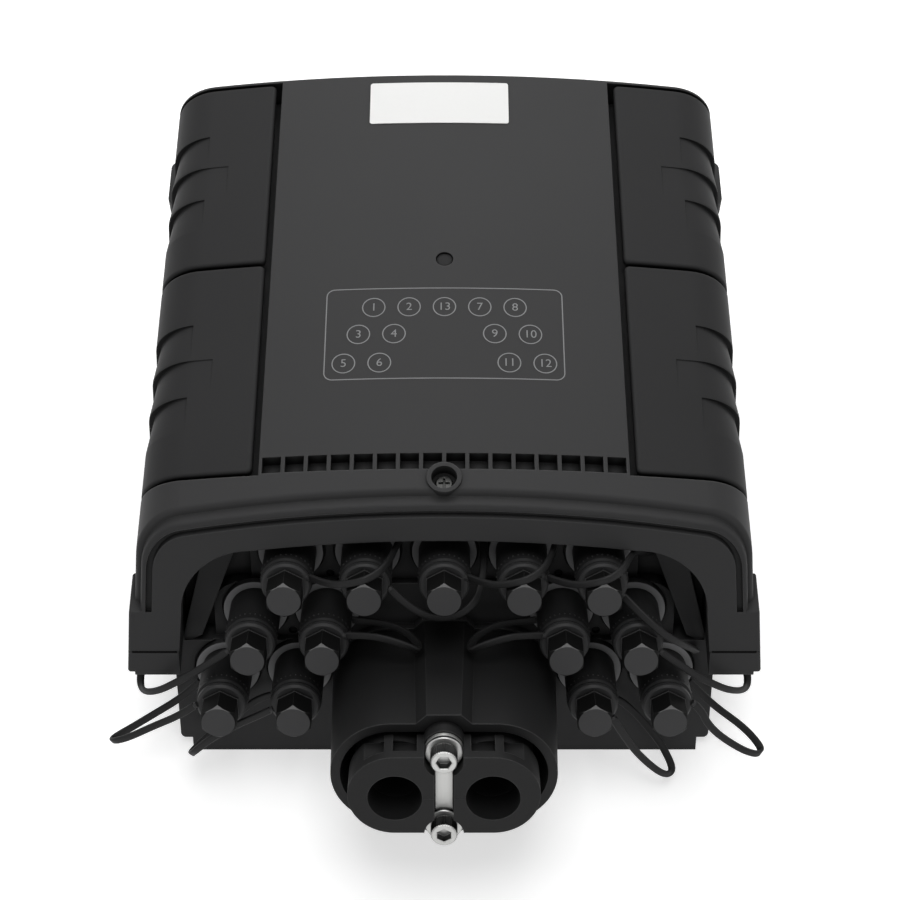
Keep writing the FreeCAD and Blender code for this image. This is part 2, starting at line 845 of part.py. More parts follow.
groove_path = gasket_path("gasket_inset + gasket_width + gasket_play", "gasket_inset - gasket_play")
groove = prism("gasket_groove", groove_path, "parting_height - gasket_depth", "gasket_depth + 1")
base_cuts.append(groove)
base_shell = cut("base_shell", base_lightened, base_cuts)
gasket = prism("gasket", gasket_path("gasket_inset + gasket_width", "gasket_inset"),
               "parting_height - gasket_depth", "gasket_depth + gasket_proud")


# Cover

cover_hull = hull("cover_hull", "0", cover_bottom, "rear_end", front_reach)
rim_core = hull("rim_core", "rim_step", "0", "rear_end", front_reach)
rim_slab = box("rim_slab", (f"-{far}", f"-{far}", "-rim_depth"), (far, far, "1"), slanted=True)
cover_stepped = cut("cover_stepped", cover_hull, [
    ahead_of("front_space", "0"), cut("rim_space", rim_slab, [rim_core])])


def hood_rounding(edge):
    out = flat_along(edge, front_out)
    along = flat_along(edge, lambda point: point.y)
    depth = skin_depth(middle_of(edge))
    if middle_of(edge).z < number(cover_bottom) + 1:
        return 0
    if along is not None and abs(along - size("rear_end")) < 0.01 and abs(depth) < 0.01:
        return size("rear_round")
    if out is None:
        return 0
    if abs(out + size("rim_depth")) < 0.01 and abs(depth) < 0.01:
        return size("ridge_round")
    if abs(out) < 0.01 and abs(depth - size("rim_step")) < 0.01:
        return size("rim_round")
    return 0


cover_front = round_edges("cover_front", cover_stepped, hood_rounding)
groove_foot = front_climb("0", "parting_height + lug_height")
groove_slab = box("groove_slab", (f"-{far}", groove_foot, "-face_groove_depth"),
                  (far, far, "1"), slanted=True)
groove_outside = hull("groove_outside", "rim_step + rim_lip", "0", "rear_end", front_reach)
groove_inside = hull("groove_inside", "rim_step + rim_lip + face_groove", "0", "rear_end", front_reach)
face_channel = cut("face_channel", common("groove_band", groove_outside, groove_slab), [groove_inside])
latch_first = "(latch_front - front_edge)"
recess_floor = hull("recess_floor", "latch_recess", "0", "rear_end + 5", front_reach)
recess_blocks = [
    box(f"recess_block_{side}", (low, f"{latch_first} - hood_gap", "parting_height + seam + cover_flange"),
        (high, "rear_end - rear_rim", "case_top + 5"))
    for side, low, high in ((-1, "-case_half_width - 5", "-panel_edge"),
                            (1, "panel_edge", "case_half_width + 5"))
]
recesses = cut("latch_recesses", fuse("recess_pair", recess_blocks), [recess_floor])
lug_top = "(parting_height + lug_height)"
cover_lugs = [lug(f"cover_lug_{side}", side, cover_bottom, lug_top, lug_top) for side in (-1, 1)]
inner_skin = hull("inner_skin", "wall", "0", "rear_end - wall", front_reach)
hood_room = common("hood_room", inner_skin, box(
    "hood_block", (f"-{far}", f"-{far}", "0"), (far, f"{latch_first} - hood_gap - wall", far)))
crown_room = common("crown_room", inner_skin, box(
    "crown_block", ("wall - panel_edge", f"-{far}", "0"), ("panel_edge - wall", far, far)))
shelf_room = hull("shelf_room", "latch_recess + wall", "0", "rear_end - wall", front_reach)
slot_y = "(slot_front - front_edge)"
slot_bar = box("slot_bar", ("-panel_edge", f"{slot_y} - wall", "case_top - slot_bar_depth - 4"),
               ("panel_edge", f"{slot_y} + slot_length + wall", "case_top + 5"))
rooms = cut("cover_rooms", fuse("cover_space", [hood_room, crown_room, shelf_room]),
            [slot_bar, ahead_of("fascia_space", "-fascia")])
arch_edge = "-(arch_top + arch_drop)"
arch_run = "(arch_half - arch_corner)"
arch_foot = f"(arch_half + tan(side_draft) * (case_top - {arch_depth}))"
arch = [
    (arch_foot, "-case_top"),
    ("arch_half", f"-{arch_depth}", "arch_corner"),
    (arch_run, arch_edge, f"({arch_run}^2 + arch_drop^2) / (2 * arch_drop)"),
    (f"-{arch_run}", arch_edge, "arch_corner"),
    ("-arch_half", f"-{arch_depth}"),
    (f"-{arch_foot}", "-case_top"),
]
arch_opening = slanted_prism("arch_opening", arch, "-fascia - 1", "fascia + 2")
cover_case = cut("cover_case", fuse("cover_and_lugs", [cover_front] + cover_lugs),
                 [recesses, rooms, arch_opening, face_channel])

pin_x = "(panel_edge + latch_gap + latch_pin_inset)"
pin_z = f"(case_top - {pin_x}^2 / (2 * crown_radius) - latch_pin_depth)"
latch_spans = {
    "front": (latch_first, "(latch_split - front_edge - latch_split_gap / 2)"),
    "rear": ("(latch_split - front_edge + latch_split_gap / 2)", "(rear_end - rear_rim - latch_clearance)"),
}
lug_setback = "(latch_wall + 1)"
latch_lugs = []
lug_bores = []
pins = []
for side, side_name in ((-1, "left"), (1, "right")):
    for span_name, (start, end) in latch_spans.items():
        tag = f"{span_name}_{side_name}"
        lug_starts = (f"{start} + {lug_setback}", f"{end} - {lug_setback} - latch_lug_width")
        for lug_index, low in enumerate(lug_starts):
            ear = cylinder(f"latch_ear_{tag}_{lug_index}", "latch_lug_radius", "latch_lug_width",
                           (f"{side} * {pin_x}", f"{low} + latch_lug_width", pin_z), "90")
            web = box(f"latch_web_{tag}_{lug_index}",
                      (f"{side} * {pin_x} - latch_lug_radius", low,
                       f"{pin_z} + latch_pin_depth - latch_recess - wall / 2"),
                      (f"{side} * {pin_x} + latch_lug_radius", f"{low} + latch_lug_width", pin_z))
            latch_lugs += [ear, web]
        bore_from = f"{end} - {lug_setback}"
        bore_length = f"({end}) - ({start}) - 2 * {lug_setback}"
        lug_bores.append(cylinder(f"latch_pin_bore_{tag}", "latch_pin_radius", f"{bore_length} + 1",
                                  (f"{side} * {pin_x}", f"{bore_from} + 0.5", pin_z), "90"))
        pins.append(cylinder(f"latch_pin_{tag}", "latch_pin_radius", bore_length,
                             (f"{side} * {pin_x}", bore_from, pin_z), "90"))

cover_knuckles = []
for side in (-1, 1):
    start = f"{side} * hinge_spread - hinge_knuckle / 2"
    cover_knuckles.append(cylinder(f"cover_knuckle_{side}", "hinge_radius", "hinge_knuckle",
                                   (start, hinge_y, "parting_height"), "90", "0; 1; 0"))
    cover_knuckles.append(box(f"cover_leaf_{side}", (start, "rear_end - 1", cover_bottom),
                              (f"{start} + hinge_knuckle", hinge_y, "parting_height + hinge_radius")))
boss = cylinder("screw_boss", "boss_radius", "boss_depth + boss_rise",
                ("0", screw_y, "case_top - boss_depth"))
valve_boss = cylinder("valve_boss", "valve_radius + wall", "2 * wall",
                      ("0", "valve_setback - front_edge", "case_top - 2 * wall - 0.5"))
valve_seat = common("valve_seat", valve_boss, hull("valve_skin", "0", "0", "rear_end", front_reach))
cover_whole = fuse("cover_whole", [cover_case, boss, valve_seat] + latch_lugs + cover_knuckles)

cover_cuts = list(lug_bores)
slot_floor = hull("slot_floor", "slot_depth", "0", "rear_end", front_reach)
slots = []
for side in (-1, 1):
    for index in range(8):
        near = f"slot_rib / 2 + {index} * slot_pitch"
        away = f"{near} + slot_pitch - slot_rib"
        low, high = (near, away) if side > 0 else (f"-({away})", f"-({near})")
        slots.append(box(f"slot_{side}_{index}", (low, slot_y, "case_top - slot_bar_depth - 4"),
                         (high, f"{slot_y} + slot_length", "case_top + 5")))
boss_keep = cylinder("boss_keep", "boss_radius", "3 * boss_depth",
                     ("0", screw_y, "case_top - 2 * boss_depth"))
cover_cuts.append(cut("slot_pockets", fuse("slot_row", slots), [slot_floor, boss_keep]))
cover_cuts.append(cylinder("boss_counterbore_cut", "boss_counterbore",
                           "boss_counterbore_depth + boss_rise + 1",
                           ("0", screw_y, "case_top - boss_counterbore_depth")))
cover_cuts.append(cylinder("boss_hole", "captive_screw_radius + cap_clearance", "3 * boss_depth",
                           ("0", screw_y, "case_top - 2 * boss_depth")))
cover_cuts.append(cylinder("valve_pocket", "valve_radius", "valve_recess + 1",
                           ("0", "valve_setback - front_edge", "case_top - valve_recess")))
cover_cuts.append(cylinder("valve_bore", "valve_radius - valve_lip", "4 * wall",
                           ("0", "valve_setback - front_edge", "case_top - 3 * wall")))
for side in (-1, 1):
    cover_cuts.append(cylinder(f"cover_hinge_bore_{side}", "hinge_pin_radius + pin_clearance",
                               "hinge_knuckle + 2",
                               (f"{side} * hinge_spread - hinge_knuckle / 2 - 1", hinge_y, "parting_height"),
                               "90", "0; 1; 0"))
cover_shell = cut("cover_shell", cover_whole, cover_cuts)
latch_pins = group("latch_pins", pins)
hinge_pins = group("cover_hinge_pins", [
    cylinder(f"cover_hinge_pin_{side}", "hinge_pin_radius", "hinge_knuckle + 2 * hinge_leaf + 2 * hinge_gap",
             (f"{side} * hinge_spread - hinge_knuckle / 2 - hinge_leaf - hinge_gap", hinge_y,
              "parting_height"), "90", "0; 1; 0")
    for side in (-1, 1)
])

screw_seat = "case_top - boss_counterbore_depth"
screw_tip = f"({block_top} - captive_grip)"
captive_profile = [
    ("0", screw_tip),
    ("captive_screw_radius", screw_tip),
    ("captive_screw_radius", screw_seat),
    ("captive_head_radius", screw_seat),
    ("captive_head_radius", f"{screw_seat} + captive_head_height"),
    ("0", f"{screw_seat} + captive_head_height"),
]
captive_blank = turned("captive_blank", captive_profile)
place(captive_blank, "0", screw_y, "0")
recess_arms = [
    box(f"captive_recess_{index}",
        (f"-{along}", f"{screw_y} - {across}", f"{screw_seat} + captive_head_height - cross_depth"),
        (along, f"{screw_y} + {across}", f"{screw_seat} + captive_head_height + 1"))
    for index, (along, across) in enumerate((
        ("captive_screw_radius", "cross_half"), ("cross_half", "captive_screw_radius")))
]
captive_screw = cut("captive_screw", captive_blank, recess_arms)
valve_profile = [
    ("0", "case_top - 2.5 * wall"),
    ("valve_radius - valve_lip - valve_stem_play", "case_top - 2.5 * wall"),
    ("valve_radius - valve_lip - valve_stem_play", "case_top - valve_recess"),
    ("valve_radius - valve_play", "case_top - valve_recess"),
    ("valve_radius - valve_play", "case_top - valve_recess + valve_head"),
    ("0", "case_top - valve_recess + valve_head"),
]
test_valve = turned("test_valve", valve_profile)
place(test_valve, "0", "valve_setback - front_edge", "0")


# Side latches

def latch(tag, side, start, end):
    low, high = ("panel_edge + latch_gap", "case_half_width + 5")
    shadow = ("panel_edge + latch_gap - 1", f"{pin_x} + 1.5")
    if side < 0:
        low, high = f"-({high})", f"-({low})"
        shadow = (f"-({shadow[1]})", f"-({shadow[0]})")
    lip = "(parting_height + seam + cover_flange + latch_clearance)"
    whole = hull(f"latch_{tag}_outer", "0", lip, end, f"-({start})")
    span = box(f"latch_{tag}_span", (low, start, lip), (high, end, "case_top + 5"))
    inner_edge = number("panel_edge + latch_gap")
    ends = (number(start), number(end))

    def rounding(edge):
        across = flat_along(edge, lambda point: abs(point.x))
        along = flat_along(edge, lambda point: point.y)
        at_end = along is not None and min(abs(along - limit) for limit in ends) < 0.01
        at_edge = across is not None and abs(across - inner_edge) < 0.01
        on_skin = flat_along(edge, skin_depth) is not None and abs(skin_depth(middle_of(edge))) < 0.01
        if at_end and at_edge:
            return size("latch_corner")
        if on_skin and (at_end or at_edge):
            return size("latch_round")
        return 0

    block = round_edges(f"latch_{tag}_block", common(f"latch_{tag}_blank", whole, span), rounding)
    skin = hull(f"latch_{tag}_skin", "latch_wall", f"{lip} + latch_wall", f"{end} - latch_wall",
                f"-({start} + latch_wall)")
    inner = hull(f"latch_{tag}_inner", "latch_wall", "0", f"{end} + 1", f"1 - ({start})")
    under = box(f"latch_{tag}_under", (shadow[0], f"{start} - 1", "0"),
                (shadow[1], f"{end} + 1", "case_top"))
    nose = common(f"latch_{tag}_nose", inner, under)
    core = hull(f"latch_{tag}_core", "latch_recess - latch_clearance", "0", f"{end} + 1", f"1 - ({start})")
    grips = grip_cut(tag, side, start, end)
    shell = cut(f"latch_{tag}_shell", block, [skin, nose, core] + grips)
    bead_end = f"({end} - {lug_setback} - latch_lug_width - latch_clearance)"
    bead_start = f"({start} + {lug_setback} + latch_lug_width + latch_clearance)"
    bead = cylinder(f"latch_{tag}_bead", "latch_bead", f"{bead_end} - {bead_start}",
                    (f"{side} * {pin_x}", bead_end, pin_z), "90")
    eye = cylinder(f"latch_{tag}_eye", "latch_pin_radius + pin_clearance", f"{bead_end} - {bead_start} + 2",
                   (f"{side} * {pin_x}", f"{bead_end} + 1", pin_z), "90")
    return cut(f"latch_{tag}", fuse(f"latch_{tag}_beaded", [shell, bead]), [eye])


def grip_cut(tag, side, start, end):
    # three finger steps on the shoulder: deep at the riser, running out towards the ports and the crown
    tools = []
    for index, reach in ((-1, "grip_side_reach"), (0, "grip_reach"), (1, "grip_side_reach")):
        name = f"grip_{tag}_{index + 1}"
        heel = f"((({start}) + ({end})) / 2 + grip_offset + {index} * grip_pitch)"
        body = new_body(name + "_ramp")
        drawing = sketch_on(body, "XZ_Plane", name + "_outline")
        place(drawing, f"{-side} * grip_depth", "0", f"-{heel}", prop="AttachmentOffset")
        draw(drawing, hull_outline("0", "0"))
        ramp = pad(body, drawing, "grip_run", name + "_pad")
        ramp.UseCustomVector = True
        ramp.AlongSketchNormal = True
        ramp.Direction = Vector(side * size("grip_depth"), -size("grip_run"), 0)
        low, high = (reach, far) if side > 0 else (f"-{far}", f"-{reach}")
        room = box(name + "_room", (low, f"{heel} - grip_run", "grip_low"), (high, heel, far))
        tools.append(cut(name, room, [body]))
    return tools


latches = []
for side, side_name in ((-1, "left"), (1, "right")):
    for span_name, (start, end) in latch_spans.items():
        latches.append(latch(f"{span_name}_{side_name}", side, start, end))


# Ports, dust caps and their rings

ring_foot = "barrel_length"
ring_top = "(barrel_length + ring_height)"


def adapter(name):
    return turned(name, [
        ("port_bore", "-shank_length"),
        ("shank_radius", "-shank_length"),
        ("shank_radius", "rim_height"),
        ("barrel_radius", "rim_height"),
        ("barrel_radius", "barrel_length - barrel_chamfer"),
        ("barrel_radius - barrel_chamfer", "barrel_length"),
        ("port_bore", "barrel_length"),
    ])


def dust_cap(name):
    body = turned(name, [
        ("0", "barrel_length - cap_spigot"),
        ("port_bore - cap_clearance", "barrel_length - cap_spigot"),
        ("port_bore - cap_clearance", "barrel_length + cap_clearance"),
        ("cap_neck_radius", "barrel_length + cap_clearance"),
        ("cap_neck_radius", f"{ring_top} + cap_clearance"),
        ("0", f"{ring_top} + cap_clearance"),
    ])
    for label, flats, length in (("lip", "cap_flats + cap_lip", "cap_lip_height"),
                                 ("head", "cap_flats", f"cap_reach - {ring_top} - cap_clearance")):
        drawing = sketch_on(body, "XY_Plane", f"{name}_{label}_hexagon")
        place(drawing, "0", "0", f"{ring_top} + cap_clearance", prop="AttachmentOffset")
        draw(drawing, hexagon(flats))
        pad(body, drawing, length, f"{name}_{label}")
    bevel = sketch_on(body, "XZ_Plane", name + "_bevel")
    draw(bevel, [
        ("cap_flats / 2 - cap_bevel", "cap_reach"),
        ("cap_flats", "cap_reach - cap_flats / 2 - cap_bevel"),
        ("cap_flats", "cap_reach"),
    ])
    turn = body.newObject("PartDesign::Groove", name + "_bevel_cut")
    turn.Profile = bevel
    turn.ReferenceAxis = (bevel, ["V_Axis"])
    return body


def cap_ring(name):
    inner = "cap_neck_radius + cap_clearance"
    return turned(name, [
        (inner, ring_foot),
        ("ring_radius - cap_chamfer", ring_foot),
        ("ring_radius", f"{ring_foot} + cap_chamfer"),
        ("ring_radius", f"{ring_top} - cap_chamfer"),
        ("ring_radius - cap_chamfer", ring_top),
        (inner, ring_top),
    ])


def lock_nut(name):
    body = prism(name, hexagon("nut_flats"), "-panel_plate - nut_height", "nut_height")
    eye = sketch_on(body, "XY_Plane", name + "_eye")
    eye.addGeometry(Part.Circle(Vector(0, 0, 0), Vector(0, 0, 1), size("shank_radius")), False)
    eye.addConstraint(Sketcher.Constraint("Coincident", 0, 3, -1, 1))
    rule = eye.addConstraint(Sketcher.Constraint("Radius", 0, size("shank_radius")))
    eye.setExpression(f"Constraints[{rule}]", formula("shank_radius + thread_clearance"))
    bore = body.newObject("PartDesign::Pocket", name + "_bore")
    bore.Profile = eye
    bore.Type = "ThroughAll"
    bore.SideType = "Symmetric"
    return body


adapters = []
caps = []
rings = []
nuts = []
port_axes = {}
for port, x, up, out in ports():
    port_axes[port] = (number(x), number(up), number(out))
    for maker, shelf, name in ((adapter, adapters, "adapter"), (dust_cap, caps, "cap"),
                               (cap_ring, rings, "ring"), (lock_nut, nuts, "nut")):
        piece = maker(f"{name}_{port:02d}")
        front_place(piece, x, up, out)
        shelf.append(piece)
adapter_nuts = group("adapter_nuts", nuts)


# Cable gland

gland_end = f"({gland_out} + gland_length)"


def in_gland(body, out, up="0", x="0"):
    front_place(body, x, f"({up}) - gland_drop", out)
    return body


def tapered(name, root, end):
    # solid between an outline at the gland's root and one at its end
    sections = []
    for label, corners, out in (("root", root, gland_out), ("end", end, gland_end)):
        drawing = doc.addObject("Sketcher::SketchObject", f"{name}_{label}")
        draw(drawing, corners)
        sections.append(in_gland(drawing, out))
    solid = doc.addObject("Part::Loft", name)
    solid.Sections = sections
    solid.Solid = True
    solid.Ruled = True
    return solid


def ridge(flare):
    right = [
        (f"ridge_base_half + {flare}", "-gland_half_height"),
        (f"ridge_base_half + {flare}", "gland_half_height"),
        (f"ridge_top_half + {flare}", "gland_half_height + ridge_rise"),
    ]
    left = [(f"-({x})", up) for x, up in reversed(right)]
    keel = [
        (f"-(ridge_top_half + {flare})", "-gland_half_height - ridge_rise"),
        (f"ridge_top_half + {flare}", "-gland_half_height - ridge_rise"),
    ]
    return right + left + keel


sleeve_outer = tapered("sleeve_outer", stadium("gland_root_half_width", "gland_half_height"),
                       stadium("gland_half_width", "gland_half_height"))
sleeve_ridges = tapered("sleeve_ridges", ridge("ridge_flare"), ridge("0"))
sleeve_bore = in_gland(prism("sleeve_bore", stadium("gland_half_width - gland_wall",
                                                    "gland_half_height - gland_wall"),
                             "-1", "gland_length + 2"), gland_out)
sleeve_tube = cut("sleeve_tube", fuse("sleeve_solid", [sleeve_outer, sleeve_ridges]), [sleeve_bore])
boss_length = "(screw_length - ear_thickness)"
sleeve_bosses = []
screw_holes = []
for side in (-1, 1):
    low, high = ("screw_offset - gland_boss_half", "gland_half_height - gland_wall / 2")
    if side < 0:
        low, high = f"-({high})", f"-({low})"
    boss_block = doc.addObject("Part::Box", f"sleeve_boss_{side}")
    bind(boss_block, Length="2 * gland_boss_half", Width=f"({high}) - ({low})", Height=boss_length)
    front_place(boss_block, "-gland_boss_half", f"{low} - gland_drop", f"{gland_end} - {boss_length}")
    sleeve_bosses.append(boss_block)
    hole = doc.addObject("Part::Cylinder", f"sleeve_screw_hole_{side}")
    bind(hole, Radius="screw_radius", Height=boss_length)
    front_place(hole, "0", f"{side} * screw_offset - gland_drop", f"{gland_end} - {boss_length} + 1")
    screw_holes.append(hole)
gland_sleeve = cut("gland_sleeve", fuse("sleeve_bossed", [sleeve_tube] + sleeve_bosses), screw_holes)

plate_back = f"({gland_end} + plate_gap)"
plate_main = in_gland(prism("plate_main", stadium("plate_half_width", "plate_half_height"), "0",
                            "plate_thickness"), plate_back, "plate_lift")
plate_cuts = []
for side in (-1, 1):
    for index in (0, 1):
        near = f"pocket_first + {index} * (pocket_width + pocket_rib)"
        away = f"{near} + pocket_width"
        low, high = (near, away) if side > 0 else (f"-({away})", f"-({near})")
        for edge in (-1, 1):
            floor = f"plate_lift - gland_drop + {edge} * (plate_half_height - pocket_depth)"
            start = floor if edge > 0 else f"{floor} - 2 * pocket_depth"
            plate_cuts.append(box(
                f"plate_pocket_{side}_{index}_{edge}", (low, start, f"{plate_back} - 1"),
                (high, f"{start} + 2 * pocket_depth", f"{plate_back} + plate_thickness - plate_front"),
                slanted=True))
plate_ears = []
screws = []
washers = []
strap_seat = f"({plate_back} + ear_thickness)"
head_seat = f"({strap_seat} + strap_thickness + washer_height)"
for side in (-1, 1):
    spot = ("0", f"{side} * screw_offset - gland_drop")
    ear = doc.addObject("Part::Cylinder", f"plate_ear_{side}")
    bind(ear, Radius="plate_ear", Height="ear_thickness")
    front_place(ear, *spot, plate_back)
    plate_ears.append(ear)
    room = doc.addObject("Part::Cylinder", f"plate_head_room_{side}")
    bind(room, Radius="washer_radius + cap_clearance", Height="plate_thickness")
    front_place(room, *spot, strap_seat)
    hole = doc.addObject("Part::Cylinder", f"plate_screw_hole_{side}")
    bind(hole, Radius="screw_radius + cap_clearance", Height="3 * plate_thickness")
    front_place(hole, *spot, f"{plate_back} - plate_thickness")
    cable = doc.addObject("Part::Cylinder", f"plate_cable_hole_{side}")
    bind(cable, Radius="cable_radius", Height="3 * plate_thickness")
    front_place(cable, f"{side} * cable_spacing / 2", "-gland_drop", f"{plate_back} - plate_thickness")
    plate_cuts += [room, hole, cable]
    screw_blank = turned(f"gland_screw_blank_{side}", [
        ("0", "-screw_length + strap_thickness + washer_height"),
        ("screw_radius", "-screw_length + strap_thickness + washer_height"),
        ("screw_radius", "0"),
        ("screw_head_radius", "0"),
        ("screw_head_radius", "screw_head_height"),
        ("0", "screw_head_height"),
    ])
    front_place(screw_blank, *spot, head_seat)
    socket = prism(f"gland_screw_socket_{side}", hexagon("socket_flats"), "screw_head_height / 2",
                   "screw_head_height")
    front_place(socket, *spot, head_seat)
    screws.append(cut(f"gland_screw_{side}", screw_blank, [socket]))
    washer = turned(f"gland_washer_{side}", [
        ("screw_radius + thread_clearance", "-washer_height"),
        ("washer_radius", "-washer_height"),
        ("washer_radius", "0"),
        ("screw_radius + thread_clearance", "0"),
    ])
    front_place(washer, *spot, head_seat)
    washers.append(washer)
channel = box("plate_channel",
              ("-strap_half_width - cap_clearance", "-gland_drop - screw_offset", strap_seat),
              ("strap_half_width + cap_clearance", "-gland_drop + screw_offset",
               f"{strap_seat} + plate_thickness"), slanted=True)
gland_plate = cut("gland_plate", fuse("plate_eared", [plate_main] + plate_ears), plate_cuts + [channel])
strap_bar = box("strap_bar", ("-strap_half_width", "-gland_drop - screw_offset", strap_seat),
                ("strap_half_width", "-gland_drop + screw_offset", f"{strap_seat} + strap_thickness"),
                slanted=True)
strap_ends = []
strap_holes = []
for side in (-1, 1):
    pad_end = doc.addObject("Part::Cylinder", f"strap_end_{side}")
    bind(pad_end, Radius="washer_radius", Height="strap_thickness")
    front_place(pad_end, "0", f"{side} * screw_offset - gland_drop", strap_seat)
    strap_ends.append(pad_end)
    hole = doc.addObject("Part::Cylinder", f"strap_hole_{side}")
    bind(hole, Radius="screw_radius + cap_clearance", Height="3 * strap_thickness")
    front_place(hole, "0", f"{side} * screw_offset - gland_drop", f"{strap_seat} - strap_thickness")
    strap_holes.append(hole)
gland_strap = cut("gland_strap", fuse("strap_blank", [strap_bar] + strap_ends), strap_holes)
gland_screws = group("gland_screws", screws + washers)
grommets = []
for side in (-1, 1):
    grommet = turned(f"grommet_{side}", [
        ("cable_radius", "-grommet_length"),
        ("grommet_radius", "-grommet_length"),
        ("grommet_radius", "0"),
        ("cable_radius", "0"),
    ])
    in_gland(grommet, gland_end, x=f"{side} * cable_spacing / 2")
    grommets.append(grommet)
gland_grommets = group("gland_grommets", grommets)


# Splice trays and splitter inside

def splice_tray(name, bottom):
    rim = box(name + "_rim", ("-tray_half_width", "-tray_half_length", bottom),
              ("tray_half_width", "tray_half_length", f"{bottom} + tray_height"))
    well = box(name + "_well",
               ("tray_wall - tray_half_width", "tray_wall - tray_half_length", f"{bottom} + tray_wall"),
               ("tray_half_width - tray_wall", "tray_half_length - tray_wall",
                f"{bottom} + tray_height + 1"))
    return cut(name, rim, [well])


tray_lower = splice_tray("splice_tray_lower", "post_height")
tray_upper = splice_tray("splice_tray_upper", "(post_height + tray_height + tray_gap)")
splitter = box("splitter_module", ("-splitter_half_width", "-splitter_length / 2", "floor_thickness"),
               ("splitter_half_width", "splitter_length / 2", "floor_thickness + splitter_height"))


# Cap tethers: from the ring on each cap, out and round to the port's foot, the panel or a lug

tether_routes = {
    1: [(-50.8, -27.8, 2.6), (-44, -24.5, 5), (-36, -21.3, 5.5), (-27, -19.8, 3), (-19.5, -19.5, -3.5),
        (-15.5, -20.3, -12), (-15, -21, -23.8)],
    2: [(-20.1, -33.4, 2.6), (-14, -39.5, 4.5), (-5, -44.2, 5.5), (5, -44.4, 4.5), (12.6, -40, 0),
        (15, -33, -8), (15.3, -27.5, -15.5), (15, -24, -23.2)],
    13: [(9.2, -27.8, 2.6), (16, -24.5, 5), (24, -21.2, 5.5), (33, -19.8, 3), (40.5, -19.5, -3.5),
         (44.5, -20.3, -12), (45, -21, -23.8)],
    7: [(39.2, -27.8, 2.6), (46, -24.4, 5), (54, -21, 6), (63, -20, 4.5), (71.5, -22, -1),
        (77.5, -26.5, -10), (80.5, -31.5, -18.5), (81.2, -35, -26.9)],
    8: [(68.5, -36.5, 2.6), (74.5, -41, 7.5), (80.8, -46, 10.8), (87, -51.2, 10), (93, -57, 5.5),
        (97.5, -63.5, -1.5), (99.2, -69, -8), (99, -72, -15.1)],
    3: [(-83.8, -59, 6.6), (-93.3, -65.4, 8.5), (-103.2, -71.9, 8), (-111.3, -78.3, 5),
        (-118.3, -82.8, -0.5), (-120.6, -82, -6.5), (-119.6, -76, -10), (-118.8, -69.3, -10)],
    10: [(83.8, -59, 6.6), (93, -66, 8.5), (103, -72.4, 8), (110.5, -77.9, 5), (117.2, -81.8, 0),
         (120.2, -82.2, -5.5), (119.3, -76, -10), (118.5, -69.3, -10)],
    4: [(-37.4, -51.5, 6.5), (-29, -48.8, 7.5), (-20, -49.6, 6.5), (-13, -53, 2.5), (-11.2, -55.5, -4),
        (-15.5, -56, -10.5), (-24, -55.6, -13), (-36, -55.5, -13)],
    9: [(37.4, -51.5, 6.5), (29, -48.8, 7.5), (20, -49.6, 6.5), (13, -53, 2.5), (11.2, -55.5, -4),
        (15.5, -56, -10.5), (24, -55.6, -13), (36, -55.5, -13)],
    5: [(-96.8, -81.4, 10.5), (-103.1, -86.4, 10), (-113.8, -92.5, 8.5), (-123.8, -98.9, 7),
        (-129.6, -102.1, 5.2), (-131.9, -103.6, 3.2), (-131.6, -103.9, 0.8), (-128.2, -102.6, -0.9),
        (-124.1, -100.6, -2), (-117, -97.1, -4.5), (-106.6, -92, -8), (-100.5, -87, -9),
        (-97.1, -83.4, -9)],
    12: [(96.9, -80.6, 10.6), (99.7, -83.4, 10.8), (102.5, -89.8, 10.4), (107.8, -96.7, 9),
         (116.9, -104.7, 7), (122.6, -108.5, 5.2), (125.8, -109.8, 3.2), (126.6, -109.3, 0.6),
         (124.6, -107.1, -1.5), (121, -103.6, -3.2), (116.4, -100.1, -5), (108.7, -95.2, -7.5),
         (101.5, -88.5, -9), (97.1, -83.6, -9)],
    6: [(-67.4, -83.3, 10.6), (-74, -87.6, 9.5), (-81.4, -92.3, 8), (-92.6, -100.9, 5.5),
        (-98.4, -107.4, 3.6), (-100.6, -110.6, 1.6), (-100.9, -112, -0.9), (-98.4, -110.4, -2.7),
        (-92, -104.6, -4.5), (-80.5, -95.6, -7), (-72.4, -90.5, -9), (-66, -89.5, -9)],
    11: [(65.6, -87.2, 10.6), (68.2, -92.6, 10), (75.3, -105.3, 7.5), (81.5, -113.8, 5),
         (86.6, -119.3, 3.4), (90, -121.6, 1.6), (91.8, -121, -0.9), (91, -118.6, -3),
         (88.9, -114.7, -4.7), (86.2, -110.2, -6), (77.5, -99.6, -8.5), (69.5, -92, -9.5),
         (64.6, -90.1, -9)],
}


# share of a run that a bend at its end may take up
bend_share = 0.45


